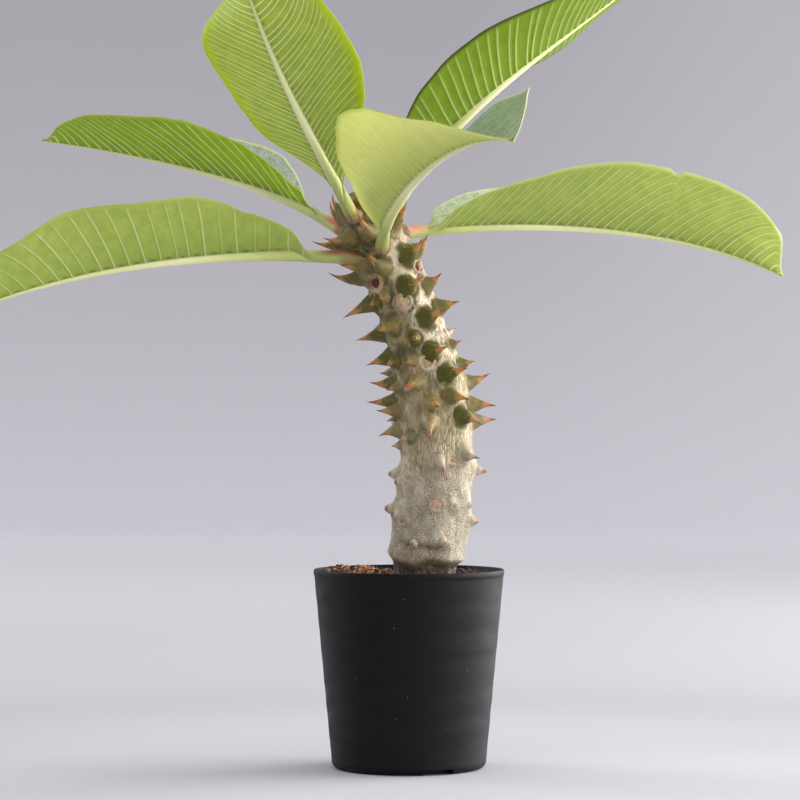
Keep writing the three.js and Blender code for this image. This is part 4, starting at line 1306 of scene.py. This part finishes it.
def leaf_strips():
    """The strips round a leaf's section: hand, zone, place across, share of the half ring."""
    count = KEEL_STRIPS + BLADE_STRIPS + 1
    keel = [("keel", j / KEEL_STRIPS, j / count) for j in range(1, KEEL_STRIPS + 1)]
    blade = []
    for k in range(BLADE_STRIPS + 1):
        blade.append(((k / BLADE_STRIPS) ** STRIP_SPACING, (KEEL_STRIPS + k) / count))
    under = keel + [("under", *row) for row in blade]
    over = [("over", *row) for row in blade]
    strips = [(1, "keel", 0.0, 0.0)] + [(1, *row) for row in under]
    strips += [(1, "edge", 1.0, 1.0)] + [(1, *row) for row in reversed(over)]
    strips += [(1, "valley", 0.0, 0.0)] + [(-1, *row) for row in over]
    return strips + [(-1, "edge", 1.0, 1.0)] + [(-1, *row) for row in reversed(under)]


def strip_places(leaf, rows, hand, across, seed):
    """Share of the midrib, place on the blade, vein, crease and pillow along a strip."""
    start, *marks = rows
    stalk = leaf["stalk"]
    spots = np.stack([start * 150, start * 0 + across * 30, start * 0 + hand * 50], -1)
    sweep = vein_lean(leaf, start, hand) * across ** VEIN_CURVE
    sweep = sweep + VEIN_WANDER * noise(spots, 9.0, seed) * across * start * (1 - start) * 4
    bare = np.linspace(0, stalk, STALK_ROWS, endpoint=False)
    none = np.zeros(STALK_ROWS)
    share = np.concatenate([bare, stalk + (1 - stalk) * (start + sweep)])
    t = np.concatenate([none, start + sweep])
    marks = [np.concatenate([none, mark]) for mark in marks]
    return np.minimum(share, LEAF_END), np.minimum(t, (LEAF_END - stalk) / (1 - stalk)), *marks


def strip_width(leaf, t, rib, hand, seed):
    """Half width of the blade on one hand, with its nicks and its rough margin."""
    width = blade_half_width(leaf, t)
    for nick_hand, nick_t, depth, reach in leaf.get("nicks", ()):
        if nick_hand == hand:
            width = width - depth * np.clip(1 - np.abs(t - nick_t) / reach, 0, 1)
    rough = noise(np.stack([t * 150, t * 0 + seed, t * 0 + hand], -1), 6.0, 80)
    rough = MARGIN_ROUGHNESS * rough * smoothstep(t, 0.05, 0.2) * fades(t, 0.85, 1)
    return np.maximum(width, rib * 1.15) * (1 + rough)


def turned(side, up, angle, hand):
    """The direction at an angle from the side of one hand towards up."""
    return side * (np.cos(angle) * hand)[..., None] + up * np.sin(angle)[..., None]


def leaf_strip(leaf, rows, strip, seed):
    """Points and values of one strip from the stalk's inner end to the leaf's tip."""
    hand, zone, place, turn_share = strip
    blade = zone in BLADE_ZONES
    across = place if blade else 0.0
    half = 0 if hand < 0 else 1
    share, t, vein, crease_shade, pillow = strip_places(leaf, rows, hand, across, seed)
    centre, up, side = leaf_frame(leaf, share, t)
    rib = rib_radius(share)
    width = strip_width(leaf, t, rib, hand, seed)
    fold = np.radians(along(leaf["folds"][half], t))
    out = turned(side, up, fold, hand)
    face = up * np.cos(fold)[:, None] - side * (np.sin(fold) * hand)[:, None]
    fade = np.clip(t * 6, 0, 1) * np.clip((1 - t) * 6, 0, 1)
    inner = 1 - smoothstep(across, 0.86, 1.0)
    begin = np.minimum(1.25 * rib, 0.9 * width)
    x = begin + (width - begin) * across
    thick = mix(BLADE_THICK, MARGIN_THICK, across ** 2)
    fillet = FILLET * rib * np.exp(-(x - begin) / (0.7 * rib))
    raised = VEIN_HEIGHT * vein * (1 - 0.55 * across) * fades(across, 0.9, 0.98) * fade
    waves = np.sin(2 * np.pi * leaf["waves"] * t + leaf["phases"][half])
    level = leaf["wave"] * across ** 2 * fade * waves + PILLOW * pillow * inner * fade
    lift = MARGIN_LIFT * across ** 3 * fade * noise(centre + x[:, None] * out, 9.0, 90 + seed)
    level = level + lift
    middle = centre + out * x[:, None]
    if zone == "under":
        flat = middle + face * (level - thick / 2 - raised - fillet)[:, None]
    elif zone == "over":
        flat = middle + face * (level + thick / 2 - 0.5 * raised + 0.4 * fillet)[:, None]
    elif zone == "edge":
        flat = middle + out * 0.1 + face * level[:, None]
    elif zone == "valley":
        flat = centre + up * (0.35 * rib)[:, None]
    else:
        angle = np.radians(-90) + place * (np.radians(78) + fold)
        flat = centre + turned(side, up, angle, hand) * rib[:, None]
    turn = np.radians(80 * turn_share - 90 if zone in ("under", "keel") else 90 - 80 * turn_share)
    ring = turned(side, up, turn, hand)
    spread = smoothstep(t, 0, 0.07)
    points = (centre + ring * rib[:, None]) * (1 - spread)[:, None] + flat * spread[:, None]
    on_rib = {"keel": 1.0, "valley": 0.7}.get(zone, 0.5 if place == 0.0 else 0.0)
    red = fades(share, 0.4 * leaf["stalk"], 1.3 * leaf["stalk"]) * smoothstep(np.sin(turn), -0.5, 0.6)
    values = {
        "vein": vein * (1 - 0.35 * across) * fades(across, 0.88, 0.98) * (1.0 if blade else 0.3),
        # Painted shade in the creases beside the veins.
        "crease_shade": crease_shade * (1 - 0.5 * across) * inner * fade,
        # Painted shade in the pockets at the rib between veins.
        "pocket_shade": pillow * fades(x - begin, 0.35, 1.5) * fade,
        "over": (zone in ("over", "valley")) * spread,
        "margin": smoothstep(across, leaf.get("rim", 0.955), 1.0) * spread,
        "near": np.exp(-(x - begin) / 8.0) * spread,
        "rib": np.maximum(on_rib, 1 - spread),
        "blush": 0.95 * np.maximum(red, 0.6 * fades(share, 0, 0.4 * leaf["stalk"])),
        "run": t,
        # 1 on the half painted in shade.
        "dim": np.full(len(t), float(hand == leaf.get("dim"))),
    }
    foot = stalk_foot(leaf, hand, turn)
    values = {key: np.concatenate([np.full(len(foot), v[0]), v]) for key, v in values.items()}
    return np.vstack([foot, points]), values


def stalk_foot(leaf, hand, turn):
    """The buried part of one strip, from the stalk's inner end to near its base."""
    root, base = buried_stalk(leaf)
    _, up, _ = leaf_frame(leaf, np.array([0.0]), np.array([0.0]))
    axis = unit(base - root)
    top = unit(up[0] - axis * (up[0] @ axis))
    ring = turned(np.cross(axis, top), top, turn, hand)
    return np.array([centre + STALK_RADIUS * ring for centre in (root, mix(root, base, 0.6))])


def make_leaf(name, paint, seed):
    leaf = LEAVES[name]
    rows = leaf_rows(leaf, seed)
    strips = [leaf_strip(leaf, rows, strip, seed) for strip in leaf_strips()]
    grid = np.stack([points for points, _ in strips], axis=1)
    values = {key: np.stack([v[key] for _, v in strips], axis=1) for key in strips[0][1]}
    points, faces, flat = closed_grid(grid, values)
    piece = make_piece(name + "_blade", points, faces, paint, flat)
    return finish_piece(piece, "leaf", name)


def make_leaves():
    for number, name in enumerate(LEAVES):
        paint = leaf_paint(name + "_skin", PLAIN_LOOK | LEAF_LOOKS[name])
        make_leaf(name, paint, LEAF_SEED + LEAF_SEED_STEP * number)


make_camera()
make_floor()
make_world()
make_lights()
make_pot()
make_soil()
make_grains()
make_stem()
make_leaves()
